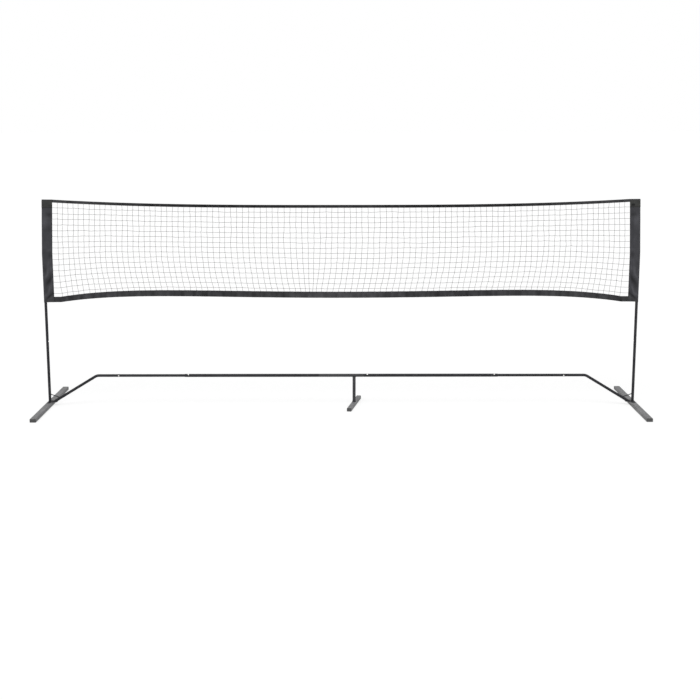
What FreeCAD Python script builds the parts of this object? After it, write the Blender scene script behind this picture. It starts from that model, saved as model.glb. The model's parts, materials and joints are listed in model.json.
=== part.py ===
import FreeCAD, Part
import math
import os
from collections import namedtuple

# Portable free-standing badminton net, set up for play.
# A net hangs between two posts. Each post stands on a long flat foot and a low
# bar, made of five plug-in tubes, ties the posts together and stands on a short
# foot near its middle. Spring buttons lock every tube joint.
# X runs along the net, Y across it and Z up. The origin is the middle of the
# footprint on the ground. All lengths are millimetres.

# Layout
POST_SPACING = 4266.0
BAR_HEIGHT = 222.0
BEND_INSET = 350.0
RAMP_INSET = 33.0
BEND_RADIUS = 60.0
STUB_X = 94.0

# Round tubes
SLIM_DIAMETER = 20.0
TUBE_WALL = 1.2
SLIP_CLEARANCE = 0.2
SPIGOT_LENGTH = 55.0
SWAGE_CONE = 3.0
SWAGE_LENGTH = 5.0
BRACE_DIAMETER = 6.0
BRACE_POST_RISE = 57.0
BRACE_RAMP_REACH = 46.0
WELD_GAP = 0.1

# Tube lengths, seen from outside. The outer bars take up the rest of the bar.
LOWER_POST_MOUTH = 500.0
MIDDLE_POST_LENGTH = 605.0
TOP_POST_RISE = 390.0
RAMP_REACH = 486.0
INNER_BAR_LENGTH = 975.0
TEE_SHOULDER_X = 165.0

# The net pulls the posts over: each top tube leans inward from a bend above its joint.
POST_BEND_RISE = 10.0
POST_LEAN = 2.2

# Spring buttons
BUTTON_INSET = 25.0
BUTTON_DIAMETER = 9.0
BUTTON_PROUD = 4.0
BUTTON_DOME = 2.0
BUTTON_CLEARANCE = 0.3
COLLAR_DIAMETER = 12.0
COLLAR_DEPTH = 2.6
SPRING_THICKNESS = 0.6
SPRING_WIDTH = 6.0
SPRING_LENGTH = 26.0
SPRING_SEAT = 5.0
SPRING_GAP = 0.05

# Feet
END_FOOT_LENGTH = 1068.0
END_FOOT_WIDTH = 44.0
CENTRE_FOOT_LENGTH = 430.0
CENTRE_FOOT_WIDTH = 33.0
CENTRE_FOOT_TURN = -10.2
FOOT_HEIGHT = 25.0
FOOT_WALL = 1.5
FOOT_CORNER = 4.0
CAP_FLANGE = 5.0
CAP_EDGE = 2.0
CAP_PLUG = 22.0
CAP_CLEARANCE = 0.15

# Swivels
BOLT_DIAMETER = 8.0
BOLT_HEAD_FLATS = 13.0
BOLT_HEAD_HEIGHT = 5.3
BOLT_ENGAGEMENT = 18.0
SWIVEL_CLEARANCE = 0.08
THREAD_CLEARANCE = 0.05
WASHER_CLEARANCE = 0.2
HEAD_WASHER_DIAMETER = 16.0
HEAD_WASHER_THICKNESS = 1.6
SWIVEL_WASHER_THICKNESS = 1.0
SWIVEL_WASHER_RIM = 2.0
ACCESS_HOLE_CLEARANCE = 1.0
PLATE_THICKNESS = 3.0
END_PLATE_LENGTH = 90.0
END_PLATE_WIDTH = 26.0
TONGUE_REACH = 54.0
TONGUE_WIDTH = 30.0
CENTRE_PLATE_SIZE = 26.0
PLATE_CORNER = 5.0
PLUG_LENGTH = 20.0
PLUG_CLEARANCE = 0.05

# Post caps
POST_CAP_FLANGE = 3.0
POST_CAP_PLUG = 15.0

# Sleeves
SLEEVE_DEPTH = 737.0
SLEEVE_REACH = 63.0
SLEEVE_SEAM = 38.0
SLEEVE_FLAP = 3.0
SLEEVE_CLOTH = 1.0
SLEEVE_LID = 1.5
LID_CLEARANCE = 0.8
POCKET_CLEARANCE = 0.3

# Net tapes
TAPE_STEPS = 80
TOP_TAPE_DEPTH = 21.0
TOP_TAPE_THICKNESS = 2.4
TOP_SAG = 40.0
BOTTOM_TAPE_DEPTH = 45.0
BOTTOM_TAPE_NARROWING = 6.0
BOTTOM_TAPE_THICKNESS = 2.4
NET_LIFT = 29.0
BOTTOM_BELLY = 57.0
BOTTOM_DROOP = 94.0

# Net cords
CORD_SIZE = 1.2
CORD_CROSSING_GAP = 0.1
CORD_END_GAP = 0.3
CORD_HEM_GAP = 0.6
ROWS = 16
COLUMNS = 100
COLUMN_CROWDING = 0.05
ROW_STEPS = 24
FIRST_ROW_DROP = 31.0
LAST_ROW_RISE = 22.0
COLUMN_SHARES = (0.0, 0.4, 0.6, 0.8, 1.0)
LEAN_START = 0.4
LEAN_POWER = 2.0
LEAN_MOST = 42.0
LEAN_LEAST = 24.0
LEAN_CENTRE_X = -220.0
LEAN_TURN_WIDTH = 90.0
LEAN_FADE_WIDTH = 450.0

# Values that follow from the ones above
SIDES = {"left": -1.0, "right": 1.0}
POST_X = POST_SPACING / 2.0
SLIM_RADIUS = SLIM_DIAMETER / 2.0
SLIM_BORE = SLIM_RADIUS - TUBE_WALL
SPIGOT_RADIUS = SLIM_BORE - SLIP_CLEARANCE
SPIGOT_BORE = SPIGOT_RADIUS - TUBE_WALL
WIDE_BORE = SLIM_RADIUS + SLIP_CLEARANCE
WIDE_RADIUS = WIDE_BORE + TUBE_WALL
UPPER_POST_MOUTH = LOWER_POST_MOUTH + MIDDLE_POST_LENGTH
POST_BEND = UPPER_POST_MOUTH + POST_BEND_RISE
POST_TOP = UPPER_POST_MOUTH + TOP_POST_RISE
OUTER_BAR_MOUTH_X = POST_X - RAMP_REACH
INNER_BAR_MOUTH_X = TEE_SHOULDER_X + INNER_BAR_LENGTH
BUTTON_RADIUS = BUTTON_DIAMETER / 2.0
BOLT_RADIUS = BOLT_DIAMETER / 2.0
PLATE_BOTTOM = FOOT_HEIGHT + SWIVEL_WASHER_THICKNESS
PLATE_TOP = PLATE_BOTTOM + PLATE_THICKNESS
SLEEVE_TOP = POST_TOP + POST_CAP_FLANGE + LID_CLEARANCE + SLEEVE_LID
SLEEVE_BOTTOM = SLEEVE_TOP - SLEEVE_DEPTH
NET_HALF = POST_X - SLEEVE_REACH

UP = FreeCAD.Vector(0.0, 0.0, 1.0)
FORWARD = FreeCAD.Vector(0.0, -1.0, 0.0)
SLANTING = (FORWARD + UP).normalize()
ALONG = FreeCAD.Vector(1.0, 0.0, 0.0)


def point(x, z, y=0.0):
    """A point, given its place along the net and its height first."""
    return FreeCAD.Vector(x, y, z)


def rod(radius, start, end):
    """A solid round bar from start to end."""
    run = end - start
    return Part.makeCylinder(radius, run.Length, start, run)


def pipe(outer_radius, bore_radius, start, end):
    """A round tube from start to end."""
    return rod(outer_radius, start, end).cut(rod(bore_radius, start, end))


def prism(outline, direction):
    """A closed outline of points, pushed along a direction."""
    return Part.Face(Part.makePolygon(outline + outline[:1])).extrude(direction)


def turned(profile):
    """A solid of revolution about Z from (radius, height) points."""
    outline = [point(radius, height) for radius, height in profile]
    face = Part.Face(Part.makePolygon(outline + outline[:1]))
    return face.revolve(point(0.0, 0.0), UP, 360.0)


def placed(shape, origin, x_axis, z_axis):
    """A shape made about the origin, moved so that its X and Z axes point as given."""
    rotation = FreeCAD.Rotation(x_axis, z_axis.cross(x_axis), z_axis, "ZXY")
    moved = shape.copy()
    moved.Placement = FreeCAD.Placement(origin, rotation)
    return moved


def rounded_bar(width, length, height, radius):
    """A bar along Y, resting on Z = 0, with its four long edges rounded."""
    corner = FreeCAD.Vector(-width / 2.0, -length / 2.0, 0.0)
    box = Part.makeBox(width, length, height, corner)
    long_edges = [e for e in box.Edges if abs(e.tangentAt(e.FirstParameter).y) > 0.5]
    return box.makeFillet(radius, long_edges)


# Where a joint's button lies on the tube axis, the way to the open end of the inner
# tube, the way the button faces, the inner tube's bore and the outer tube's radius.
TubeJoint = namedtuple("TubeJoint", "place open_end facing bore outer_radius")


def tube_joints():
    """Every locked tube joint."""
    joints = {}
    for side, sign in SIDES.items():
        inward = ALONG * -sign
        outward = ALONG * sign
        post_low = point(sign * POST_X, LOWER_POST_MOUTH - BUTTON_INSET)
        post_high = point(sign * POST_X, UPPER_POST_MOUTH - BUTTON_INSET)
        ramp = point(sign * (OUTER_BAR_MOUTH_X - BUTTON_INSET), BAR_HEIGHT)
        bar = point(sign * (INNER_BAR_MOUTH_X - BUTTON_INSET), BAR_HEIGHT)
        tee = point(sign * (TEE_SHOULDER_X + BUTTON_INSET), BAR_HEIGHT)
        tee_facing = -FORWARD if side == "left" else SLANTING
        joints["post_low_" + side] = TubeJoint(post_low, -UP, inward, SPIGOT_BORE, SLIM_RADIUS)
        joints["post_high_" + side] = TubeJoint(post_high, -UP, inward, SPIGOT_BORE, SLIM_RADIUS)
        joints["ramp_" + side] = TubeJoint(ramp, inward, FORWARD, SPIGOT_BORE, SLIM_RADIUS)
        joints["bar_" + side] = TubeJoint(bar, inward, SLANTING, SLIM_BORE, WIDE_RADIUS)
        joints["tee_" + side] = TubeJoint(tee, outward, tee_facing, SLIM_BORE, WIDE_RADIUS)
    return joints


JOINTS = tube_joints()


def drilled(tube, *joint_names):
    """A tube with the button holes of the named joints drilled through one wall."""
    for name in joint_names:
        joint = JOINTS[name]
        reach = joint.facing * (joint.outer_radius + BUTTON_PROUD)
        hole = rod(BUTTON_RADIUS + BUTTON_CLEARANCE, joint.place, joint.place + reach)
        tube = tube.cut(hole)
    return tube


def swaged_tube(shoulder, end):
    """A slim tube from its shoulder to its end, with a narrowed spigot behind the shoulder."""
    length = (end - shoulder).Length
    profile = [
        (SPIGOT_RADIUS, -SPIGOT_LENGTH),
        (SPIGOT_RADIUS, 0.0),
        (SLIM_RADIUS, SWAGE_CONE),
        (SLIM_RADIUS, length),
        (SLIM_BORE, length),
        (SLIM_BORE, SWAGE_CONE),
        (SPIGOT_BORE, 0.0),
        (SPIGOT_BORE, -SPIGOT_LENGTH),
    ]
    tube = turned(profile)
    tube.Placement = FreeCAD.Placement(shoulder, FreeCAD.Rotation(UP, end - shoulder))
    return tube


def bent_rod(radius, start, corner, end):
    """A round bar through three points in the XZ plane, with a bend at the corner."""
    first = (corner - start).normalize()
    second = (end - corner).normalize()
    turn = first.getAngle(second)
    setback = BEND_RADIUS * math.tan(turn / 2.0)
    bend_start = corner - first * setback
    bend_end = corner + second * setback
    axis = first.cross(second).normalize()
    centre = bend_start + axis.cross(first) * BEND_RADIUS
    circle = Part.Face(Part.Wire(Part.makeCircle(radius, bend_start, first)))
    bend = circle.revolve(centre, axis, math.degrees(turn))
    return rod(radius, start, bend_start).fuse([bend, rod(radius, bend_end, end)])


def bent_tube(shoulder, corner, end):
    """A slim tube with one bend, from its shoulder by its corner to its end."""
    start = shoulder + (corner - shoulder).normalize() * SWAGE_LENGTH
    outside = bent_rod(SLIM_RADIUS, start, corner, end)
    inside = bent_rod(SLIM_BORE, start, corner, end)
    return outside.cut(inside).fuse(swaged_tube(shoulder, start)).removeSplitter()


# Posts


def post_inset(height):
    """How far a post has leaned towards the net at a height."""
    return max(0.0, height - POST_BEND) * math.tan(math.radians(POST_LEAN))


def post_axis(side, height):
    """The point on a post's axis at a height."""
    return point(SIDES[side] * (POST_X - post_inset(height)), height)


def upright(side):
    """The lower post tube, welded to its base plate and open at the top."""
    x = SIDES[side] * POST_X
    tube = pipe(SLIM_RADIUS, SLIM_BORE, point(x, PLATE_TOP), point(x, LOWER_POST_MOUTH))
    return drilled(tube, "post_low_" + side)


def middle_post(side):
    """The middle post tube. The net is low when it is left out."""
    x = SIDES[side] * POST_X
    tube = swaged_tube(point(x, LOWER_POST_MOUTH), point(x, UPPER_POST_MOUTH))
    return drilled(tube, "post_low_" + side, "post_high_" + side)


def top_post(side):
    """The top post tube, which the net sleeve slips over."""
    heights = (UPPER_POST_MOUTH, POST_BEND, POST_TOP)
    tube = bent_tube(*[post_axis(side, height) for height in heights])
    return drilled(tube, "post_high_" + side)


def post_cap(side):
    """A plastic plug that closes the top of the post."""
    plug = SLIM_BORE - PLUG_CLEARANCE
    profile = [
        (0.0, -POST_CAP_PLUG),
        (plug, -POST_CAP_PLUG),
        (plug, 0.0),
        (SLIM_RADIUS, 0.0),
        (SLIM_RADIUS, POST_CAP_FLANGE / 2.0),
        (SLIM_RADIUS - POST_CAP_FLANGE / 2.0, POST_CAP_FLANGE),
        (0.0, POST_CAP_FLANGE),
    ]
    cap = turned(profile)
    top = post_axis(side, POST_TOP)
    cap.Placement = FreeCAD.Placement(top, FreeCAD.Rotation(UP, top - post_axis(side, POST_BEND)))
    return cap


# Ramp tubes and braces


def ramp_route(side):
    """The ramp tube's landing point on the base plate, its corner and its shoulder."""
    sign = SIDES[side]
    landing = point(sign * (POST_X - RAMP_INSET), PLATE_TOP)
    corner = point(sign * (POST_X - BEND_INSET), BAR_HEIGHT)
    shoulder = point(sign * OUTER_BAR_MOUTH_X, BAR_HEIGHT)
    return landing, corner, shoulder


def ramp_tube(side):
    """The bent tube that climbs from the base of the upright to the bar."""
    landing, corner, shoulder = ramp_route(side)
    buried = landing + (landing - corner).normalize() * SLIM_DIAMETER * 2.0
    tube = trimmed_at_base(bent_tube(shoulder, corner, buried), side)
    return drilled(tube, "ramp_" + side)


def trimmed_at_base(tube, side):
    """A ramp cut to land on the base plate and to butt against the upright."""
    sign = SIDES[side]
    depth = SLIM_DIAMETER * 4.0
    below = Part.makeBox(
        2.0 * depth,
        2.0 * depth,
        depth,
        FreeCAD.Vector(sign * POST_X - depth, -depth, PLATE_TOP - depth),
    )
    corner_x = sign * POST_X - (depth if sign < 0.0 else 0.0)
    beyond = Part.makeBox(depth, 2.0 * depth, depth, FreeCAD.Vector(corner_x, -depth, PLATE_TOP))
    post = rod(
        SLIM_RADIUS + WELD_GAP,
        point(sign * POST_X, PLATE_TOP - depth),
        point(sign * POST_X, PLATE_TOP + depth),
    )
    return tube.cut([below, beyond, post])


def brace_rod(side):
    """The thin rod that stiffens the corner between the upright and the ramp."""
    sign = SIDES[side]
    landing, corner, shoulder = ramp_route(side)
    climb = (corner - landing).normalize()
    high = point(sign * POST_X, PLATE_TOP + BRACE_POST_RISE)
    low = landing + climb * (BRACE_RAMP_REACH / abs(climb.x))
    bar = rod(BRACE_DIAMETER / 2.0, high, low)
    post = rod(SLIM_RADIUS + WELD_GAP, point(sign * POST_X, PLATE_TOP), point(sign * POST_X, POST_TOP))
    ramp = rod(SLIM_RADIUS + WELD_GAP, landing, corner)
    return bar.cut([post, ramp])


# Bar tubes


def outer_bar(side):
    """The slim bar tube between the ramp and the inner bar."""
    sign = SIDES[side]
    inner_end = INNER_BAR_MOUTH_X - SPIGOT_LENGTH
    tube = pipe(
        SLIM_RADIUS,
        SLIM_BORE,
        point(sign * OUTER_BAR_MOUTH_X, BAR_HEIGHT),
        point(sign * inner_end, BAR_HEIGHT),
    )
    return drilled(tube, "ramp_" + side, "bar_" + side)


def inner_bar(side):
    """The wide bar tube that takes the outer bar at one end and the tee at the other."""
    sign = SIDES[side]
    tube = pipe(
        WIDE_RADIUS,
        WIDE_BORE,
        point(sign * INNER_BAR_MOUTH_X, BAR_HEIGHT),
        point(sign * TEE_SHOULDER_X, BAR_HEIGHT),
    )
    return drilled(tube, "bar_" + side, "tee_" + side)


def centre_tee():
    """The wide bar tube in the middle, narrowed at both ends to plug into the inner bars."""
    end = TEE_SHOULDER_X + SPIGOT_LENGTH
    cone = TEE_SHOULDER_X - SWAGE_CONE
    places = (-end, -TEE_SHOULDER_X, -cone, cone, TEE_SHOULDER_X, end)
    outer_radii = (SLIM_RADIUS, SLIM_RADIUS, WIDE_RADIUS, WIDE_RADIUS, SLIM_RADIUS, SLIM_RADIUS)
    bore_radii = (SLIM_BORE, SLIM_BORE, WIDE_BORE, WIDE_BORE, SLIM_BORE, SLIM_BORE)
    outside = list(zip(outer_radii, places))
    inside = list(zip(bore_radii, places))
    tube = turned(outside + inside[::-1])
    tube.Placement = FreeCAD.Placement(point(0.0, BAR_HEIGHT), FreeCAD.Rotation(UP, ALONG))
    return drilled(tube, "tee_left", "tee_right")


def centre_stub():
    """The leg under the tee tube, as wide as it and notched to fit it."""
    leg = pipe(WIDE_RADIUS, WIDE_BORE, point(STUB_X, PLATE_TOP), point(STUB_X, BAR_HEIGHT))
    low_x = point(STUB_X - WIDE_RADIUS, BAR_HEIGHT)
    high_x = point(STUB_X + WIDE_RADIUS, BAR_HEIGHT)
    return leg.cut(rod(WIDE_RADIUS + WELD_GAP, low_x, high_x))


# Feet and their swivels


# Each foot's place along the bar, its length, its width, its turn from square, the width
# of the plate over it and the bore of the tube that stands on that.
Foot = namedtuple("Foot", "x length width turn plate bore")
END_FOOT = Foot(0.0, END_FOOT_LENGTH, END_FOOT_WIDTH, 0.0, END_PLATE_WIDTH, SLIM_BORE)
FEET = {
    "left": END_FOOT._replace(x=-POST_X),
    "right": END_FOOT._replace(x=POST_X),
    "centre": Foot(
        STUB_X,
        CENTRE_FOOT_LENGTH,
        CENTRE_FOOT_WIDTH,
        CENTRE_FOOT_TURN,
        CENTRE_PLATE_SIZE,
        WIDE_BORE,
    ),
}


def foot_tube(length, width):
    """A flat box tube along Y, with a pivot hole on top and an access hole below."""
    tube_length = length - 2.0 * CAP_FLANGE
    tube = rounded_bar(width, tube_length, FOOT_HEIGHT, FOOT_CORNER)
    hollow = rounded_bar(
        width - 2.0 * FOOT_WALL,
        tube_length,
        FOOT_HEIGHT - 2.0 * FOOT_WALL,
        FOOT_CORNER - FOOT_WALL,
    )
    hollow.translate(UP * FOOT_WALL)
    middle = point(0.0, FOOT_HEIGHT / 2.0)
    pivot = rod(BOLT_RADIUS + SWIVEL_CLEARANCE, middle, point(0.0, 2.0 * FOOT_HEIGHT))
    access_radius = HEAD_WASHER_DIAMETER / 2.0 + ACCESS_HOLE_CLEARANCE
    access = rod(access_radius, point(0.0, -FOOT_HEIGHT), middle)
    return tube.cut([hollow, pivot, access])


def foot_cap(length, width, end):
    """A plastic plug for one end of a foot. End is 1 or -1."""
    flange = rounded_bar(width, CAP_FLANGE, FOOT_HEIGHT, FOOT_CORNER)
    flange.translate(FreeCAD.Vector(0.0, (length - CAP_FLANGE) / 2.0, 0.0))
    rim = [e for e in flange.Edges if e.BoundBox.YMin > length / 2.0 - CAP_FLANGE / 2.0]
    flange = flange.makeFillet(CAP_EDGE, rim)
    gap = FOOT_WALL + CAP_CLEARANCE
    plug = rounded_bar(
        width - 2.0 * gap,
        CAP_PLUG,
        FOOT_HEIGHT - 2.0 * gap,
        FOOT_CORNER - gap,
    )
    plug.translate(FreeCAD.Vector(0.0, length / 2.0 - CAP_FLANGE - CAP_PLUG / 2.0, gap))
    cap = flange.fuse(plug).removeSplitter()
    if end < 0:
        cap.rotate(point(0.0, 0.0), UP, 180.0)
    return cap


def foot_caps(length, width):
    """Both end plugs of a foot."""
    return Part.makeCompound([foot_cap(length, width, end) for end in (1, -1)])


def pivot_bolt():
    """A hex bolt that hangs the foot: its head is inside the foot."""
    seat = FOOT_HEIGHT - FOOT_WALL - HEAD_WASHER_THICKNESS
    corner_radius = BOLT_HEAD_FLATS / math.sqrt(3.0)
    corners = []
    for step in range(6):
        angle = math.radians(60.0 * step)
        corners.append(
            FreeCAD.Vector(
                corner_radius * math.cos(angle),
                corner_radius * math.sin(angle),
                seat - BOLT_HEAD_HEIGHT,
            )
        )
    head = prism(corners, UP * BOLT_HEAD_HEIGHT)
    shank = rod(BOLT_RADIUS, point(0.0, seat), point(0.0, PLATE_TOP + BOLT_ENGAGEMENT))
    return head.fuse(shank).removeSplitter()


def head_washer():
    """The steel washer between the bolt's head and the foot's top wall."""
    top = FOOT_HEIGHT - FOOT_WALL
    return pipe(
        HEAD_WASHER_DIAMETER / 2.0,
        BOLT_RADIUS + WASHER_CLEARANCE,
        point(0.0, top - HEAD_WASHER_THICKNESS),
        point(0.0, top),
    )


def swivel_washer(plate_width):
    """The nylon washer that the base plate turns on, hidden under the plate."""
    return pipe(
        plate_width / 2.0 - SWIVEL_WASHER_RIM,
        BOLT_RADIUS + WASHER_CLEARANCE,
        point(0.0, FOOT_HEIGHT),
        point(0.0, PLATE_BOTTOM),
    )


def threaded_plug(bore):
    """The plug in the foot of a tube that the pivot bolt screws into."""
    return pipe(
        bore - PLUG_CLEARANCE,
        BOLT_RADIUS + THREAD_CLEARANCE,
        point(0.0, PLATE_TOP),
        point(0.0, PLATE_TOP + PLUG_LENGTH),
    )


def flat_plate(low_x, high_x, width):
    """A flat plate with rounded corners."""
    corner = FreeCAD.Vector(low_x, -width / 2.0, PLATE_BOTTOM)
    plate = Part.makeBox(high_x - low_x, width, PLATE_THICKNESS, corner)
    uprights = [e for e in plate.Edges if abs(e.tangentAt(e.FirstParameter).z) > 0.5]
    return plate.makeFillet(PLATE_CORNER, uprights)


def base_plate(plate, x):
    """A plate with its bolt hole, moved along the bar."""
    hole = rod(BOLT_RADIUS + WASHER_CLEARANCE, point(0.0, 0.0), point(0.0, 2.0 * PLATE_TOP))
    plate = plate.cut(hole)
    plate.translate(point(x, 0.0))
    return plate


def end_plate(side):
    """The plate under an upright: a bar along the foot and a tongue under the ramp tube."""
    half = END_PLATE_WIDTH / 2.0
    bar = flat_plate(-half, half, END_PLATE_LENGTH)
    tongue = flat_plate(-half, TONGUE_REACH, TONGUE_WIDTH)
    plate = bar.fuse(tongue).removeSplitter()
    if side == "right":
        plate.rotate(point(0.0, 0.0), UP, 180.0)
    return base_plate(plate, SIDES[side] * POST_X)


def centre_plate():
    """The square plate under the centre leg."""
    half = CENTRE_PLATE_SIZE / 2.0
    return base_plate(flat_plate(-half, half, CENTRE_PLATE_SIZE), STUB_X)


# Spring buttons


def snap_button(inner_bore, outer_radius):
    """A button along +Z in a tube along X: a domed stem on a collar that cannot leave the bore."""
    top = outer_radius + BUTTON_PROUD
    collar_top = inner_bore - BUTTON_CLEARANCE
    collar_low = collar_top - COLLAR_DEPTH
    shoulder = point(BUTTON_RADIUS, top - BUTTON_DOME)
    crown = point(BUTTON_RADIUS - BUTTON_DOME, top)
    bend = BUTTON_DOME * (1.0 - math.cos(math.radians(45.0)))
    knee = point(BUTTON_RADIUS - bend, top - bend)
    edges = [
        Part.makeLine(point(0.0, collar_low), point(BUTTON_RADIUS, collar_low)),
        Part.makeLine(point(BUTTON_RADIUS, collar_low), shoulder),
        Part.Arc(shoulder, knee, crown).toShape(),
        Part.makeLine(crown, point(0.0, top)),
        Part.makeLine(point(0.0, top), point(0.0, collar_low)),
    ]
    stem = Part.Face(Part.Wire(edges)).revolve(point(0.0, 0.0), UP, 360.0)
    collar = rod(COLLAR_DIAMETER / 2.0, point(0.0, collar_low), point(0.0, inner_bore))
    bore = rod(collar_top, ALONG * -COLLAR_DIAMETER, ALONG * COLLAR_DIAMETER)
    return stem.fuse(collar.common(bore)).removeSplitter()


def ribbon(middle_line, thickness):
    """The closed outline of a line of (x, z) points, given a thickness with mitred corners."""
    normals = []
    for (x0, z0), (x1, z1) in zip(middle_line, middle_line[1:]):
        length = math.hypot(x1 - x0, z1 - z0)
        normals.append(((z0 - z1) / length, (x1 - x0) / length))
    before = normals[:1] + normals
    after = normals + normals[-1:]
    offsets = []
    for (ax, az), (bx, bz) in zip(before, after):
        scale = thickness / (1.0 + ax * bx + az * bz) / 2.0
        offsets.append(((ax + bx) * scale, (az + bz) * scale))
    upper = [(x + dx, z + dz) for (x, z), (dx, dz) in zip(middle_line, offsets)]
    lower = [(x - dx, z - dz) for (x, z), (dx, dz) in zip(middle_line, offsets)]
    return upper + lower[::-1]


def strip(middle_line, thickness, low_y, high_y):
    """A ribbon in the XZ plane, filled from one Y to another."""
    outline = [point(x, z, low_y) for x, z in ribbon(middle_line, thickness)]
    return prism(outline, FreeCAD.Vector(0.0, high_y - low_y, 0.0))


def v_spring(inner_bore):
    """The bent strip that pushes a button out: one leg under the collar, one on the far wall."""
    collar_low = inner_bore - BUTTON_CLEARANCE - COLLAR_DEPTH
    high = collar_low - SPRING_GAP - SPRING_THICKNESS / 2.0
    far_wall = math.sqrt(inner_bore**2 - (SPRING_WIDTH / 2.0) ** 2)
    low = -far_wall + SPRING_GAP + SPRING_THICKNESS / 2.0
    middle = (high + low) / 2.0
    nose = SPRING_LENGTH - SPRING_THICKNESS
    line = [
        (-SPRING_SEAT, high),
        (SPRING_SEAT, high),
        (nose, middle + SPRING_THICKNESS * 2.0),
        (SPRING_LENGTH, middle),
        (nose, middle - SPRING_THICKNESS * 2.0),
        (SPRING_SEAT, low),
        (-SPRING_SEAT, low),
    ]
    return strip(line, SPRING_THICKNESS, -SPRING_WIDTH / 2.0, SPRING_WIDTH / 2.0)


def button_at(name):
    """The button of one joint, in place."""
    joint = JOINTS[name]
    button = snap_button(joint.bore, joint.outer_radius)
    return placed(button, joint.place, joint.open_end, joint.facing)


def springs():
    """The springs of every joint, in place."""
    solids = []
    for joint in JOINTS.values():
        spring = v_spring(joint.bore)
        solids.append(placed(spring, joint.place, joint.open_end, joint.facing))
    return Part.makeCompound(solids)


# Net


def sleeve_outline(radius, seam, half_flap, reach):
    """Half the sleeve's section, as (distance from the post towards the net, y): the tangent
    point on the circle about the post, then the seam and, where there is one, the flap."""
    distance = math.hypot(seam, half_flap)
    angle = math.acos(radius / distance) + math.atan2(half_flap, seam)
    touch = (radius * math.cos(angle), radius * math.sin(angle))
    if reach > seam:
        return [touch, (seam, half_flap), (reach, half_flap)]
    return [touch, (seam, half_flap)]


def sleeve_face(side, radius, seam, half_flap, reach, height):
    """A level face: a circle about the post that narrows to the sleeve's seam or flap."""
    sign = SIDES[side]

    def at(distance, y):
        return point(sign * (POST_X - distance), height, y)

    outline = sleeve_outline(radius, seam, half_flap, reach)
    upper = [at(u, y) for u, y in outline]
    lower = [at(u, -y) for u, y in outline]
    corners = upper + lower[::-1]
    edges = [Part.Arc(lower[0], at(-radius, 0.0), upper[0]).toShape()]
    edges += [Part.makeLine(a, b) for a, b in zip(corners, corners[1:])]
    return Part.Face(Part.Wire(edges))


def sleeve_column(side, section, top):
    """A section pushed up along the post, from the sleeve's bottom to a height."""
    heights = (SLEEVE_BOTTOM, POST_BEND, top)
    straight, leaning = [
        sleeve_face(side, *section, low).extrude(post_axis(side, high) - post_axis(side, low))
        for low, high in zip(heights, heights[1:])
    ]
    return straight.fuse(leaning).removeSplitter()


def net_sleeve(side):
    """The cloth sleeve at one end of the net: a closed pocket for the post and a flap."""
    pocket_radius = SLIM_RADIUS + POCKET_CLEARANCE
    half_flap = SLEEVE_FLAP / 2.0
    outside = (pocket_radius + SLEEVE_CLOTH, SLEEVE_SEAM, half_flap, SLEEVE_REACH)
    inside = (pocket_radius, SLEEVE_SEAM - SLEEVE_FLAP, half_flap - SLEEVE_CLOTH, 0.0)
    pocket = sleeve_column(side, inside, SLEEVE_TOP - SLEEVE_LID)
    return sleeve_column(side, outside, SLEEVE_TOP).cut(pocket)


# Places along the net are stations, which run from -1 at the left sleeve to 1 at the
# right sleeve. The posts lean, so the same station is nearer the middle higher up.


def net_point(station, height):
    """A point of the net, as (x, z)."""
    return station * (NET_HALF - post_inset(height)), height


def even_stations(steps):
    """The ends of a number of equal steps from sleeve to sleeve."""
    return [2.0 * step / steps - 1.0 for step in range(steps + 1)]


def top_line(station):
    """Height of the net's top edge."""
    return SLEEVE_TOP - TOP_SAG * (1.0 - abs(station) ** 3)


def bottom_line(station):
    """Height of the net's bottom edge, lowest at the sleeves and a little low in the middle."""
    belly = BOTTOM_BELLY * station**2
    droop = BOTTOM_DROOP * abs(station) ** 5
    return max(SLEEVE_BOTTOM, SLEEVE_BOTTOM + NET_LIFT + belly - droop)


def mesh_top(station):
    """Height where the cords meet the top tape."""
    return top_line(station) - TOP_TAPE_DEPTH


def mesh_bottom(station):
    """Height where the cords meet the bottom tape."""
    return bottom_line(station) + BOTTOM_TAPE_DEPTH - BOTTOM_TAPE_NARROWING * station**4


def tape(upper_edge, lower_edge, thickness):
    """A flat band between two edges, from sleeve to sleeve."""
    stations = even_stations(TAPE_STEPS)
    corners = [net_point(station, upper_edge(station)) for station in stations]
    corners += [net_point(station, lower_edge(station)) for station in stations[::-1]]
    outline = [point(x, z, -thickness / 2.0) for x, z in corners]
    return prism(outline, FreeCAD.Vector(0.0, thickness, 0.0))


def mesh_point(station, share):
    """A point at a station and a share of the way down from the top tape to the bottom one."""
    top = mesh_top(station)
    return net_point(station, top + (mesh_bottom(station) - top) * share)


def lean(station, share):
    """How many stations an upright cord leans towards the net's middle, low down."""
    if share <= LEAN_START:
        return 0.0
    low_share = (share - LEAN_START) / (1.0 - LEAN_START)
    fade = min(1.0, NET_HALF * (1.0 - abs(station)) / LEAN_FADE_WIDTH)
    size = LEAN_LEAST + (LEAN_MOST - LEAN_LEAST) * fade
    turn = math.tanh((LEAN_CENTRE_X - NET_HALF * station) / LEAN_TURN_WIDTH)
    return size * turn * low_share**LEAN_POWER / NET_HALF


def row_shares():
    """How far down the mesh each level cord runs, as a share of the height."""
    height = mesh_top(0.0) - mesh_bottom(0.0)
    pitch = (height - FIRST_ROW_DROP - LAST_ROW_RISE) / (ROWS - 1)
    return [(FIRST_ROW_DROP + pitch * row) / height for row in range(ROWS)]


def level_cords():
    """The cords that run from sleeve to sleeve, behind the upright ones."""
    reach = 1.0 - CORD_END_GAP / NET_HALF
    near = CORD_CROSSING_GAP / 2.0
    solids = []
    for share in row_shares():
        line = [mesh_point(station * reach, share) for station in even_stations(ROW_STEPS)]
        solids.append(strip(line, CORD_SIZE, near, near + CORD_SIZE))
    return Part.makeCompound(solids)


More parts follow.
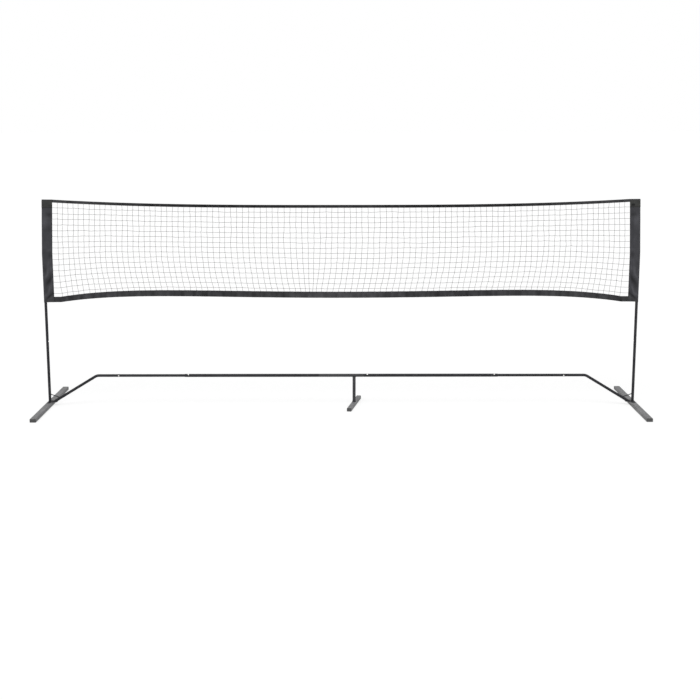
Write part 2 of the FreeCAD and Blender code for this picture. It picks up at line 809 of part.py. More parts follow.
def column_stations():
    """Where the upright cords hang, a little closer together towards the sleeves."""
    even = even_stations(COLUMNS + 1)[1:-1]
    return [share * (1.0 + COLUMN_CROWDING * (1.0 - share**2)) for share in even]


def upright_cords():
    """The cords that hang from the top tape to the bottom tape, in front of the level ones."""
    near = CORD_CROSSING_GAP / 2.0
    solids = []
    for station in column_stations():
        line = [mesh_point(station + lean(station, share), share) for share in COLUMN_SHARES]
        line[0] = (line[0][0], line[0][1] - CORD_END_GAP)
        line[-1] = (line[-1][0], line[-1][1] + CORD_HEM_GAP)
        solids.append(strip(line, CORD_SIZE, -near - CORD_SIZE, -near))
    return Part.makeCompound(solids)


def top_tape():
    """The hem along the net's top."""
    return tape(top_line, mesh_top, TOP_TAPE_THICKNESS)


def bottom_tape():
    """The hem along the net's bottom."""
    return tape(mesh_bottom, bottom_line, BOTTOM_TAPE_THICKNESS)


# Assembly


def side_nodes(side):
    """Every piece that both ends of the net have."""
    return {
        "upright_" + side: upright(side),
        "post_middle_" + side: middle_post(side),
        "post_top_" + side: top_post(side),
        "post_cap_" + side: post_cap(side),
        "ramp_tube_" + side: ramp_tube(side),
        "brace_rod_" + side: brace_rod(side),
        "outer_bar_" + side: outer_bar(side),
        "inner_bar_" + side: inner_bar(side),
        "base_plate_" + side: end_plate(side),
        "net_sleeve_" + side: net_sleeve(side),
    }


def foot_nodes(name):
    """The pieces of one foot, turned as it stands, and of its swivel, which stays square."""
    foot = FEET[name]
    turning = {
        "foot_" + name: foot_tube(foot.length, foot.width),
        "foot_caps_" + name: foot_caps(foot.length, foot.width),
    }
    square = {
        "pivot_bolt_" + name: pivot_bolt(),
        "head_washer_" + name: head_washer(),
        "swivel_washer_" + name: swivel_washer(foot.plate),
        "threaded_plug_" + name: threaded_plug(foot.bore),
    }
    for shape in turning.values():
        shape.rotate(point(0.0, 0.0), UP, foot.turn)
    nodes = {**turning, **square}
    for shape in nodes.values():
        shape.translate(point(foot.x, 0.0))
    return nodes


def all_nodes():
    """Every node of the part and its shape."""
    nodes = {}
    for side in SIDES:
        nodes.update(side_nodes(side))
    for name in FEET:
        nodes.update(foot_nodes(name))
    for name in JOINTS:
        nodes["snap_button_" + name] = button_at(name)
    nodes["button_springs"] = springs()
    nodes["centre_tee"] = centre_tee()
    nodes["centre_stub"] = centre_stub()
    nodes["base_plate_centre"] = centre_plate()
    nodes["net_top_tape"] = top_tape()
    nodes["net_bottom_tape"] = bottom_tape()
    nodes["net_cords_level"] = level_cords()
    nodes["net_cords_upright"] = upright_cords()
    return nodes


os.makedirs("parts", exist_ok=True)
for node, shape in all_nodes().items():
    print(node, len(shape.Solids), "valid" if shape.isValid() else "NOT VALID", round(shape.Volume))
    shape.exportStep("parts/" + node + ".step")
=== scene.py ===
# %% [markdown]
# # A portable badminton net
#
# The net hangs between two posts. Each post stands on a long flat foot, and a low bar of
# plug-in tubes ties the posts together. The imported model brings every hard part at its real
# size: tubes, feet, buttons, bolts. This lesson gives those parts their finish, and makes
# what is soft or very small: the knotted twine, the hems, the sleeves, the sewing thread
# and the weld beads.
#
# All lengths are metres. X runs along the net, Y away from the camera and Z up.

# %% Load the frame
import json
import math

import bpy
import numpy as np
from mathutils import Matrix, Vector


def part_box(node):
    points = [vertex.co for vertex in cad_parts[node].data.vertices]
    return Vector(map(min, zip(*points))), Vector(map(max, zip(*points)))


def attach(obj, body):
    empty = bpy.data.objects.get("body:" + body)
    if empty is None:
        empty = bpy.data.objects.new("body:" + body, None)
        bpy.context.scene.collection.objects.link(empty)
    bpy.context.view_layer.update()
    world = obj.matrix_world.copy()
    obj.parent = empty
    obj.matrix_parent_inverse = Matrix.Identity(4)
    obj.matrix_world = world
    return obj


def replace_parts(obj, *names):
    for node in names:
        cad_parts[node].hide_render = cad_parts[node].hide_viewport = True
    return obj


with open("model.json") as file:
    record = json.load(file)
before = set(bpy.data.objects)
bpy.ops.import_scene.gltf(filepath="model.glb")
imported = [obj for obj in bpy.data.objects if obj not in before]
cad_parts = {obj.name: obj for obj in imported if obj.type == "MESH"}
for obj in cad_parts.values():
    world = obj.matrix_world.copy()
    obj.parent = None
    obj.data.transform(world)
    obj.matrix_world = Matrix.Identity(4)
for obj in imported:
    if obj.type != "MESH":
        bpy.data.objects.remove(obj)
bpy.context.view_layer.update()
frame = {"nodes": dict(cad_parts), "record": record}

# %% [markdown]
# ## The camera
#
# The net is over four metres long, so where the camera stands decides how wide the feet
# splay in the picture. Both long feet run straight away from the camera. Their corners, the
# posts and the bar fix its distance, height and tilt, and the lens follows from the focal
# length in pixels.

# %% Camera
PICTURE_PIXELS = 700.0
FOCAL_PIXELS = 1258.6
MIDDLE_COLUMN_PIXELS = 340.93
SENSOR_MM = 36.0
CAMERA_DISTANCE = 8.9975
CAMERA_HEIGHT = 2.0804
CAMERA_TILT = math.radians(10.52)
CAMERA_ROLL = math.radians(0.066)

scene = bpy.context.scene
lens = bpy.data.cameras.new("camera")
lens.sensor_width = SENSOR_MM
lens.lens = FOCAL_PIXELS * SENSOR_MM / PICTURE_PIXELS
lens.shift_x = (PICTURE_PIXELS / 2.0 - MIDDLE_COLUMN_PIXELS) / PICTURE_PIXELS
camera = bpy.data.objects.new("camera", lens)
camera.location = (0.0, -CAMERA_DISTANCE, CAMERA_HEIGHT)
camera.rotation_euler = (math.pi / 2.0 - CAMERA_TILT, CAMERA_ROLL, 0.0)
scene.collection.objects.link(camera)
scene.camera = camera
scene.view_settings.view_transform = "Standard"
print("one metre of net is", round(FOCAL_PIXELS / CAMERA_DISTANCE, 1), "pixels")

# %% [markdown]
# ## Wiring a material
#
# A procedural material is a small circuit of nodes. Making a node, setting it and wiring its
# inputs takes several lines each time, so small helpers do it. An input is a number, a colour
# or another node's output.

# %% Node helpers


def wire(tree, node, wires):
    """Links or sets a node's inputs, given by name or number."""
    for name, value in wires.items():
        if isinstance(value, bpy.types.NodeSocket):
            tree.links.new(value, node.inputs[name])
        else:
            node.inputs[name].default_value = value


def add(tree, kind, wires=None, **settings):
    """A shader node with its settings and inputs."""
    node = tree.nodes.new("ShaderNode" + kind)
    for name, value in settings.items():
        setattr(node, name, value)
    wire(tree, node, wires or {})
    return node


def maths(tree, operation, *values):
    """The result of an operation on numbers or other nodes' outputs."""
    return add(tree, "Math", dict(enumerate(values)), operation=operation).outputs[0]


def noise(tree, coordinates, scale, detail):
    """Cloudy noise from 0 to 1. Scale is the number of its blotches in a metre."""
    inputs = {"Vector": coordinates, "Scale": scale, "Detail": detail}
    return add(tree, "TexNoise", inputs).outputs["Fac"]


def new_material(name):
    """A material, its node tree and the place on the object."""
    material = bpy.data.materials.new(name)
    material.use_nodes = True
    tree = material.node_tree
    return material, tree, add(tree, "TexCoord").outputs["Object"]


def finish(material, inputs):
    """The material, with the inputs of its main shader linked or set."""
    tree = material.node_tree
    wire(tree, tree.nodes["Principled BSDF"], inputs)
    return material


def blotches(tree, coordinates, scale, dark, light, detail=3.0):
    """A soft cloudy pattern between two colours. Scale is the number of blotches in a metre."""
    ramp = add(tree, "ValToRGB", {"Fac": noise(tree, coordinates, scale, detail)})
    for stop, place, colour in zip(ramp.color_ramp.elements, (0.3, 0.7), (dark, light)):
        stop.position = place
        stop.color = (*colour, 1.0)
    return ramp.outputs["Color"]


def between(tree, value, low, high):
    """A value from 0 to 1 spread over another range."""
    spread = add(tree, "MapRange", {"Value": value, "To Min": low, "To Max": high})
    return spread.outputs["Result"]


def relief(tree, height, depth):
    """The surface direction of a bump pattern, whose height from 0 to 1 stands for a depth."""
    return add(tree, "Bump", {"Height": height, "Distance": depth}).outputs["Normal"]


# %% [markdown]
# ## Floor and light
#
# The object stands on plain white with hardly a shadow. A white dome lights it evenly, and a
# wide soft sun from the camera's side adds the difference between the tops and the sides of
# the feet. The floor glows for the camera alone, so it reads as white and still takes a
# faint shadow. For all other rays it is plain pale board.

# %% Floor and light
FLOOR_HALF = 150.0
FLOOR_DROP = 0.0004
DOME_STRENGTH = 0.5
SUN_SHARE = 0.5
SUN_DIRECTION = np.array([0.15, 0.75, -1.0])
SUN_WIDTH = math.radians(35.0)
BOARD = 0.7
CAMERA_BOARD = 0.3
CAMERA_GLOW = 0.72


def eye_rays(tree):
    """The light path, and 1 for a ray from the camera or off a mirror-like surface."""
    path = add(tree, "LightPath").outputs
    return path, maths(tree, "MAXIMUM", path["Is Camera Ray"], path["Is Glossy Ray"])


def floor_material():
    """Pale board, which glows towards the camera and in mirror-like reflections."""
    material, tree = new_material("floor_board")[:2]
    tree.nodes.remove(tree.nodes["Principled BSDF"])
    board = add(tree, "BsdfDiffuse", {"Color": (*[BOARD] * 3, 1.0)})
    pale = add(tree, "BsdfDiffuse", {"Color": (*[CAMERA_BOARD] * 3, 1.0)})
    glow = add(tree, "Emission", {"Strength": CAMERA_GLOW})
    bright = add(tree, "AddShader", {0: pale.outputs[0], 1: glow.outputs[0]})
    mix = add(tree, "MixShader", {0: eye_rays(tree)[1], 1: board.outputs[0], 2: bright.outputs[0]})
    tree.links.new(mix.outputs[0], tree.nodes["Material Output"].inputs["Surface"])
    return material


CORNERS = ((-1.0, -1.0), (1.0, -1.0), (1.0, 1.0), (-1.0, 1.0))
corners = [(FLOOR_HALF * x, FLOOR_HALF * y, -FLOOR_DROP) for x, y in CORNERS]
floor_mesh = bpy.data.meshes.new("floor")
floor_mesh.from_pydata(corners, [], [(0, 1, 2, 3)])
floor_mesh.materials.append(floor_material())
floor = bpy.data.objects.new("floor", floor_mesh)
scene.collection.objects.link(floor)

world = bpy.data.worlds.new("dome")
scene.world = world
world.use_nodes = True
dome = world.node_tree
path, seen = eye_rays(dome)
clear = maths(dome, "MAXIMUM", seen, path["Is Transmission Ray"])
strength = between(dome, clear, DOME_STRENGTH, 1.0)
wire(dome, dome.nodes["Background"], {"Color": (1.0, 1.0, 1.0, 1.0), "Strength": strength})

drop = SUN_DIRECTION / np.linalg.norm(SUN_DIRECTION)
sun_data = bpy.data.lights.new("sun", "SUN")
sun_data.energy = SUN_SHARE * math.pi / -drop[2]
sun_data.angle = SUN_WIDTH
sun = bpy.data.objects.new("sun", sun_data)
sun.rotation_euler = (math.asin(drop[1]), -math.atan2(drop[0], -drop[2]), 0.0)
scene.collection.objects.link(sun)
print("light on level white:", DOME_STRENGTH + SUN_SHARE)

# %% [markdown]
# ## Painted tubes and feet
#
# The tubes have a satin black powder coat, a little paler on the T in the middle of the bar,
# and the feet a grey one with a coarser grain. Powder melts into a skin with fine dimples,
# like an orange's peel. Noise at two scales makes it: a fine one for the dimples and a coarse
# one for the patches where handling has polished or dulled the skin. Sparse pale scuffs come
# from the peaks of a stretched noise.

# %% Powder coat
BLACK_DARK = (0.020, 0.020, 0.023)
BLACK_LIGHT = (0.032, 0.032, 0.036)
TEE_DARK = (0.040, 0.040, 0.043)
TEE_LIGHT = (0.056, 0.056, 0.060)
GREY_DARK = (0.13, 0.13, 0.133)
GREY_LIGHT = (0.19, 0.19, 0.194)
CLOUDS = 14.0
PATCHES = 9.0
SCUFFS = 160.0
SCUFF_RANGE = (0.70, 0.80)
SCUFF_PALENESS = 3.0
PAINT_SPREAD = 0.07


def powder_coat(name, dark, light, roughness, dimples, depth, gloss):
    """Painted metal. Dimples is their number in a metre and depth how deep they are."""
    material, tree, place = new_material(name)
    long_place = add(tree, "Mapping", {"Vector": place, "Scale": (1.0, 1.0, 0.25)}).outputs[0]
    scuff = {"From Min": SCUFF_RANGE[0], "From Max": SCUFF_RANGE[1]}
    scuff["Value"] = noise(tree, long_place, SCUFFS, 2.0)
    pale = (*(SCUFF_PALENESS * part for part in light), 1.0)
    paint = {
        "Fac": add(tree, "MapRange", scuff).outputs["Result"],
        "Color1": blotches(tree, place, CLOUDS, dark, light, detail=6.0),
        "Color2": pale,
    }
    patch = noise(tree, place, PATCHES, 4.0)
    skin = {
        "Base Color": add(tree, "MixRGB", paint).outputs[0],
        "Roughness": between(tree, patch, roughness - PAINT_SPREAD, roughness + PAINT_SPREAD),
        "Normal": relief(tree, noise(tree, place, dimples, 1.5), depth),
        "Specular IOR Level": gloss,
    }
    return finish(material, skin)


tube_paint = powder_coat("tube_powder_coat", BLACK_DARK, BLACK_LIGHT, 0.48, 650.0, 0.00006, 0.12)
tee_paint = powder_coat("tee_powder_coat", TEE_DARK, TEE_LIGHT, 0.45, 650.0, 0.00006, 0.15)
foot_paint = powder_coat("foot_powder_coat", GREY_DARK, GREY_LIGHT, 0.55, 420.0, 0.00012, 0.25)
print("paints", tube_paint.name, tee_paint.name, foot_paint.name)

# %% [markdown]
# ## Plastic, nylon and metal
#
# The end caps are moulded black plastic with a fine leathery grain. The washers are milky
# nylon, which lets a little light in. Bolts are zinc plated, springs are tempered strip and
# the buttons are bright nickel.

# %% Caps, washers, fasteners, springs and buttons
METAL_SPREAD = 0.06
MARK_DEPTH = 0.00001


def cap_plastic():
    """Moulded plastic with a fine grain of small cells."""
    material, tree, place = new_material("cap_plastic")
    cells = add(tree, "TexVoronoi", {"Vector": place, "Scale": 1100.0}).outputs["Distance"]
    skin = {
        "Base Color": blotches(tree, place, 60.0, (0.060, 0.060, 0.061), (0.090, 0.090, 0.091)),
        "Normal": relief(tree, cells, 0.00006),
        "Roughness": 0.55,
        "Specular IOR Level": 0.25,
    }
    return finish(material, skin)


def washer_nylon():
    """Milky nylon, a little translucent."""
    material, tree, place = new_material("washer_nylon")
    skin = {
        "Base Color": blotches(tree, place, 90.0, (0.70, 0.68, 0.61), (0.80, 0.79, 0.73)),
        "Roughness": 0.35,
        "Subsurface Weight": 0.3,
        "Subsurface Scale": 0.001,
    }
    return finish(material, skin)


def bare_metal(name, dark, light, roughness, grain, stretch):
    """Metal with fine marks. Grain is their number in a metre, and stretch draws them out
    along X."""
    material, tree, place = new_material(name)
    drawn = add(tree, "Mapping", {"Vector": place, "Scale": (1.0 / stretch, 1.0, 1.0)}).outputs[0]
    marks = noise(tree, drawn, grain, 3.0)
    skin = {
        "Base Color": blotches(tree, place, 120.0, dark, light),
        "Roughness": between(tree, marks, roughness - METAL_SPREAD, roughness + METAL_SPREAD),
        "Normal": relief(tree, marks, MARK_DEPTH),
        "Metallic": 1.0,
    }
    return finish(material, skin)


zinc = bare_metal("zinc_plate", (0.56, 0.57, 0.58), (0.70, 0.70, 0.68), 0.34, 900.0, 1.0)
nickel = bare_metal("bright_nickel", (0.82, 0.81, 0.79), (0.90, 0.89, 0.87), 0.16, 1500.0, 1.0)
spring_steel = bare_metal("spring_strip", (0.30, 0.31, 0.33), (0.42, 0.43, 0.46), 0.3, 2500.0, 12.0)
print("metals", zinc.name, nickel.name, spring_steel.name)

# %% [markdown]
# ## Dress the hard parts
#
# The record names a material slot for each node, so one table from slot to material dresses
# them all. Their shapes are already right and stay as they are.

# %% Dress the hard parts
HARD_FINISHES = {
    "tube_paint": tube_paint,
    "foot_paint": foot_paint,
    "cap_plastic": cap_plastic(),
    "fastener_zinc": zinc,
    "washer_nylon": washer_nylon(),
    "button_nickel": nickel,
    "spring_steel": spring_steel,
}
dressed = 0
for part in frame["record"]["subparts"]:
    if part["material_slot"] in HARD_FINISHES:
        node = frame["nodes"][part["node"]]
        node.data.materials.clear()
        node.data.materials.append(HARD_FINISHES[part["material_slot"]])
        dressed += 1
for name in ("centre_tee", "centre_stub"):
    frame["nodes"][name].data.materials[0] = tee_paint
print("hard nodes dressed:", dressed)

# %% [markdown]
# ## Surfaces from grids
#
# Everything made here is a grid of points worked out with numpy, then handed to Blender in
# one go. A strip of cloth is an open grid. A cord or a bead is a grid whose columns close
# into rings. Each face also gets its place in the grid as a UV coordinate, which the woven
# and twisted patterns follow.

# %% Number and mesh helpers


def unit(vectors):
    """Vectors along the last axis, each made one long."""
    return vectors / np.linalg.norm(vectors, axis=-1, keepdims=True)


def circle(count):
    """Evenly spaced angles round a circle."""
    return np.linspace(0.0, 2.0 * math.pi, count, endpoint=False)


def run_along(line):
    """How far along a line of points each of them lies."""
    return np.concatenate([[0.0], np.cumsum(np.linalg.norm(np.diff(line, axis=0), axis=1))])


def at_stops(stops, run, values):
    """Values at some distances, where run says how far along each row of values lies."""
    return np.stack([np.interp(stops, run, column) for column in values.T], axis=-1)


def grid_faces(rows, columns, rings=False):
    """Corner numbers and grid places of every face of a grid of points. Face (i, j) has the
    corners (i, j), (i + 1, j), (i + 1, j + 1), (i, j + 1). With rings, the last column joins
    the first. The face looks along (step down the rows) x (step along the columns)."""
    i, j = np.meshgrid(np.arange(rows - 1), np.arange(columns - (not rings)), indexing="ij")
    steps = ((0, 0), (1, 0), (1, 1), (0, 1))
    faces = np.stack([(i + di) * columns + (j + dj) % columns for di, dj in steps], axis=-1)
    places = np.stack([np.stack([j + dj, i + di], axis=-1) for di, dj in steps], axis=-2)
    return faces.reshape(-1, 4), places.reshape(-1, 4, 2).astype(float)


def repeated(faces, points_each, copies):
    """The faces of many copies of a shape that follow one another in one list of points."""
    starts = points_each * np.arange(copies)
    return (faces[None] + starts[:, None, None]).reshape(-1, faces.shape[1])


def make_piece(name, points, faces, material, uv=None, shade=None):
    """A smooth-shaded object on the frame from points (n, 3), faces (m, 4), a UV place for
    each face corner (m, 4, 2) and how shaded each point is (n)."""
    mesh = bpy.data.meshes.new(name)
    mesh.from_pydata(points.reshape(-1, 3).tolist(), [], faces.tolist())
    if uv is not None:
        mesh.uv_layers.new(name="UVMap").uv.foreach_set("vector", uv.astype(np.float32).ravel())
    if shade is not None:
        mesh.attributes.new("shade", "FLOAT", "POINT").data.foreach_set("value", shade.ravel())
    mesh.polygons.foreach_set("use_smooth", np.ones(len(faces), bool))
    mesh.materials.append(material)
    mesh.validate()
    piece = bpy.data.objects.new(name, mesh)
    scene.collection.objects.link(piece)
    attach(piece, "frame")
    print(name, len(points.reshape(-1, 3)), "points", len(faces), "faces")
    return piece


# %% [markdown]
# ## Weld beads
#
# The uprights, ramps, braces and the centre leg are welded to each other and to their base
# plates. A bead follows the line where a round bar meets a flat plate or another tube. That
# line has a formula: go round the bar, and from each point slide along the bar until the
# plate or the tube is reached. The bead is a thin ring swept along it, with the ripples a
# welder's hand leaves. It is painted over with the tubes.

# %% Weld beads
BEAD_STEPS = 72
BEAD_SIDES = 8
BEAD_RIPPLES = 14
BEAD_RIPPLE_SIZE = 0.12


def on_plate(points, direction):
    """Each point slid along the direction to the top of a base plate."""
    return points + np.outer((PLATE_TOP - points[:, 2]) / direction[2], direction)


def on_tube(tube_point, tube_axis, radius):
    """A function that slides points along a direction to a tube's skin, the first they come
    to. The slide s solves |flat(p + s d - t)| = radius, where flat drops the part along the
    tube."""
    flat = np.eye(3) - np.outer(tube_axis, tube_axis)

    def slide(points, direction):
        step = flat @ direction
        offset = (points - tube_point) @ flat
        half_b = offset @ step
        c = (offset * offset).sum(axis=1) - radius**2
        root = np.sqrt(np.maximum(half_b**2 - (step @ step) * c, 0.0))
        return points + np.outer((-half_b - root) / (step @ step), direction)

    return slide


def weld(start, direction, bar_radius, thickness, reach):
    """A rippled ring round a bar from a start point. Reach slides points on the bar to the
    joint. The ring's section is a circle between the way out and the bar's own direction."""
    direction = unit(direction)
    across = np.array([0.0, 1.0, 0.0])
    turn = circle(BEAD_STEPS)
    outward = np.outer(np.cos(turn), across)
    outward = outward + np.outer(np.sin(turn), np.cross(direction, across))
    line = reach(start + bar_radius * outward, direction)
    ripple = thickness * (1.0 + BEAD_RIPPLE_SIZE * np.abs(np.sin(BEAD_RIPPLES * turn)))
    around = circle(BEAD_SIDES)
    out = outward[:, None, :] * np.cos(around)[None, :, None]
    up = direction[None, None, :] * np.sin(around)[None, :, None]
    return line[:, None, :] + (out + up) * ripple[:, None, None]


# %% [markdown]
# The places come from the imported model's own boxes. The ramp climbs from the base plate to
# the bend in a straight line, so its direction follows from where it lands and where it
# turns level.

# %% Where the welds are
X_AXIS, Y_AXIS, Z_AXIS = 0, 1, 2


def half_and_middle(node, axis):
    """Half the size and the middle of a node's box along an axis."""
    low, high = (corner[axis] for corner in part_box(node))
    return (high - low) / 2.0, (high + low) / 2.0


TUBE_RADIUS, left_post_x = half_and_middle("upright_left", X_AXIS)
POST_X = -left_post_x
PLATE_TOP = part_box("base_plate_left")[1].z
TEE_RADIUS, BAR_Z = half_and_middle("centre_tee", Z_AXIS)
STUB_X = half_and_middle("centre_stub", X_AXIS)[1]
BRACE_RADIUS = half_and_middle("brace_rod_left", Y_AXIS)[0]
RAMP_INSET = 0.033
BEND_INSET = 0.350
BRACE_POST_RISE = 0.057
BRACE_RAMP_REACH = 0.046
TUBE_BEAD = 0.0015
BRACE_BEAD = 0.0010
UP = np.array([0.0, 0.0, 1.0])
ALONG = np.array([1.0, 0.0, 0.0])


def side_welds(sign):
    """The beads at one end of the bar: post and ramp on the plate, brace on post and ramp."""
    post = np.array([sign * POST_X, 0.0, PLATE_TOP])
    landing = np.array([sign * (POST_X - RAMP_INSET), 0.0, PLATE_TOP])
    climb = unit(np.array([sign * (POST_X - BEND_INSET), 0.0, BAR_Z]) - landing)
    high = post + BRACE_POST_RISE * UP
    low = landing + climb * BRACE_RAMP_REACH / abs(climb[0])
    middle = (high + low) / 2.0
    return [
        weld(post, UP, TUBE_RADIUS, TUBE_BEAD, on_plate),
        weld(landing, climb, TUBE_RADIUS, TUBE_BEAD, on_plate),
        weld(middle, high - low, BRACE_RADIUS, BRACE_BEAD, on_tube(post, UP, TUBE_RADIUS)),
        weld(middle, low - high, BRACE_RADIUS, BRACE_BEAD, on_tube(landing, climb, TUBE_RADIUS)),
    ]


SADDLE_ROOM = 1.03
leg = np.array([STUB_X, 0.0, PLATE_TOP])
saddle = on_tube(np.array([0.0, 0.0, BAR_Z]), ALONG, SADDLE_ROOM * TEE_RADIUS)
beads = side_welds(-1.0) + side_welds(1.0)
beads += [weld(leg, UP, TEE_RADIUS, TUBE_BEAD, reach) for reach in (on_plate, saddle)]
BEAD_POINTS = BEAD_STEPS * BEAD_SIDES
ring_faces = grid_faces(BEAD_STEPS + 1, BEAD_SIDES, rings=True)[0] % BEAD_POINTS
bead_faces = repeated(ring_faces, BEAD_POINTS, len(beads))
make_piece("weld_beads", np.stack(beads), bead_faces, tube_paint)

# %% [markdown]
# ## Where the net lies
#
# A place along the net is a station, from -1 at the left sleeve to 1 at the right one. The
# net's pull bends the post tops inward, so the same station lies nearer the middle higher
# up. The top hem sags between the posts. The bottom hem hangs a little in the middle and
# drops at the sleeves. Level cords keep a fixed share of the way from hem to hem. Upright
# cords hang straight at first and lean to the middle lower down.

# %% Net shape
POST_BEND_RISE = 0.010
POST_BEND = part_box("post_middle_left")[1].z + POST_BEND_RISE
POST_SLOPE = math.tan(math.radians(2.2))
FLAP_REACH = 0.063
NET_HALF = POST_X - FLAP_REACH
NET_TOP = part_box("net_top_tape")[1].z
HEM_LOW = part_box("net_bottom_tape")[0].z
TOP_DEPTH = 0.021
TOP_SAG = 0.040
BOTTOM_DEPTH = 0.045
BOTTOM_NARROWING = 0.006
LIFT = 0.029
BELLY = 0.057
DROOP = 0.094
ROWS = 16
COLUMNS = 100
CROWDING = 0.05
FIRST_ROW_DROP = 0.031
LAST_ROW_RISE = 0.022
LEAN_START = 0.4
LEAN_POWER = 2.0
LEAN_MOST = 0.042
LEAN_LEAST = 0.024
LEAN_CENTRE_X = -0.220
LEAN_TURN_WIDTH = 0.090
LEAN_FADE_WIDTH = 0.450


def post_inset(z):
    """How far a post has leaned towards the net at a height."""
    return np.maximum(z - POST_BEND, 0.0) * POST_SLOPE


def net_x(station, z):
    """Place along the net of a station at a height."""
    return station * (NET_HALF - post_inset(z))


def top_line(station):
    """Height of the net's top edge: it sags by TOP_SAG with the third power of the station."""
    return NET_TOP - TOP_SAG * (1.0 - np.abs(station) ** 3)


def bottom_line(station):
    """Height of the net's bottom edge: a square lifts it, a fifth power drops it, and it
    stops at the sleeves' lower end."""
    share = np.abs(station)
    return np.maximum(HEM_LOW, HEM_LOW + LIFT + BELLY * share**2 - DROOP * share**5)


def mesh_top(station):
    """Height where the cords leave the top hem."""
    return top_line(station) - TOP_DEPTH


def mesh_bottom(station):
    """Height where the cords enter the bottom hem, which narrows towards the sleeves."""
    return bottom_line(station) + BOTTOM_DEPTH - BOTTOM_NARROWING * station**4


def mesh_height(station, share):
    """Height at a share of the way down from the top hem to the bottom hem."""
    return mesh_top(station) + (mesh_bottom(station) - mesh_top(station)) * share


def lean(station, share):
    """How many stations an upright cord leans. It grows with a power of the share below its
    start, changes side near the middle and is smaller beside the sleeves."""
    low_share = np.clip((share - LEAN_START) / (1.0 - LEAN_START), 0.0, None)
    fade = np.clip(NET_HALF * (1.0 - np.abs(station)) / LEAN_FADE_WIDTH, 0.0, 1.0)
    size = LEAN_LEAST + (LEAN_MOST - LEAN_LEAST) * fade
    turn = np.tanh((LEAN_CENTRE_X - NET_HALF * station) / LEAN_TURN_WIDTH)
    return size * turn * low_share**LEAN_POWER / NET_HALF


even = np.linspace(-1.0, 1.0, COLUMNS + 2)[1:-1]
column_station = even * (1.0 + CROWDING * (1.0 - even**2))
middle_height = mesh_top(0.0) - mesh_bottom(0.0)
row_pitch = (middle_height - FIRST_ROW_DROP - LAST_ROW_RISE) / (ROWS - 1)
row_share = (FIRST_ROW_DROP + row_pitch * np.arange(ROWS)) / middle_height
column_pitch = NET_HALF * (column_station[COLUMNS // 2] - column_station[COLUMNS // 2 - 1])
print("mesh", round(1000 * column_pitch, 1), "by", round(1000 * row_pitch, 1), "mm")

# %% [markdown]
# ## Knotted twine
#
# A real net is never a perfect lattice. Each knot sits a little off its place, level cords
# sag between knots and upright ones bow sideways. So the knots come first, as an array of
# rows by columns with a seeded scatter. Both sets of cords then run through them, which
# keeps them joined. Cords and knots are three pieces, because each stays light that way.

# %% Twine material
TWINE_RADIUS = 0.0010
TWINE_SIDES = 6
TWIST_PITCH = 0.004
STRANDS = 2.0
STRAND_RELIEF = 0.00012


def twine_material():
    """Twisted polyester: two strands wind round each other, so the relief is a sine of the
    angle round the cord plus the way along it."""
    material, tree, place = new_material("net_twine")
    uv = add(tree, "SeparateXYZ", {0: add(tree, "TexCoord").outputs["UV"]}).outputs
    wound = maths(tree, "MULTIPLY_ADD", uv["Y"], 1.0 / TWIST_PITCH, uv["X"])
    wave = maths(tree, "SINE", maths(tree, "MULTIPLY", wound, 2.0 * math.pi * STRANDS))
    skin = {
        "Base Color": blotches(tree, place, 40.0, (0.018, 0.018, 0.02), (0.04, 0.04, 0.043)),
        "Normal": relief(tree, wave, STRAND_RELIEF),
        "Roughness": 0.75,
        "Sheen Weight": 0.15,
    }
    return finish(material, skin)


net_twine = twine_material()

# %% Knots and the paths between them
KNOT_SCATTER = 0.0009
COLUMN_WANDER = 0.0016
ROW_WANDER = 0.0010
LEVEL_SAG = 0.0013
SAG_RANGE = (0.3, 1.4)
LEVEL_STEPS = 4
UPRIGHT_STEPS = 3
UPRIGHT_BOW = 0.0008
TUCK = 0.004
DRIFT = np.array([0.15, 0.25, 0.3, 0.25, 0.15])
DRIFT_SPREAD = 0.5
rng = np.random.default_rng(11)


def wander(rows, columns, axis, size):
    """A scatter that drifts slowly along one axis of a grid, like a loose cord does."""
    loose = rng.normal(0.0, 1.0, (rows, columns))
    drift = np.apply_along_axis(lambda line: np.convolve(line, DRIFT, mode="same"), axis, loose)
    return size * drift / DRIFT_SPREAD


def through(stops, steps, sag):
    """Points on cords that pass through stops (cords, stops, 3). Between two stops a cord is
    straight plus a sag that follows t (1 - t). Sag is (cords, stops - 1, 3)."""
    t = (np.arange(steps) / steps)[None, None, :, None]
    first, last = stops[:, :-1, None, :], stops[:, 1:, None, :]
    run = first + (last - first) * t + sag[:, :, None, :] * 4.0 * t * (1.0 - t)
    return np.concatenate([run.reshape(len(stops), -1, 3), stops[:, -1:, :]], axis=1)


def twine(name, paths, node):
    """Cords that lie near the plane y = 0, as rings square to their paths. The ring's
    directions are Y and the path's own direction turned by a quarter in that plane."""
    cords, count = paths.shape[:2]
    along = unit(np.gradient(paths, axis=1))
    side = np.cross(along, np.broadcast_to([0.0, 1.0, 0.0], along.shape))
    turn = circle(TWINE_SIDES)[:, None]
    ring = side[:, :, None] * np.cos(turn) + np.cross(along, side)[:, :, None] * np.sin(turn)
    points = paths[:, :, None, :] + TWINE_RADIUS * ring
    faces, places = grid_faces(count, TWINE_SIDES, rings=True)
    faces = repeated(faces[:, ::-1], count * TWINE_SIDES, cords)
    steps = np.linalg.norm(np.diff(paths, axis=1), axis=2)
    uv = np.tile(places * (1.0 / TWINE_SIDES, steps.mean()), (cords, 1, 1))[:, ::-1]
    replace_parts(make_piece(name, points, faces, net_twine, uv), node)
    lengths = steps.sum(axis=1)
    print(f"{name}: {lengths.min():.3f} to {lengths.max():.3f} m, in all {lengths.sum():.1f} m")


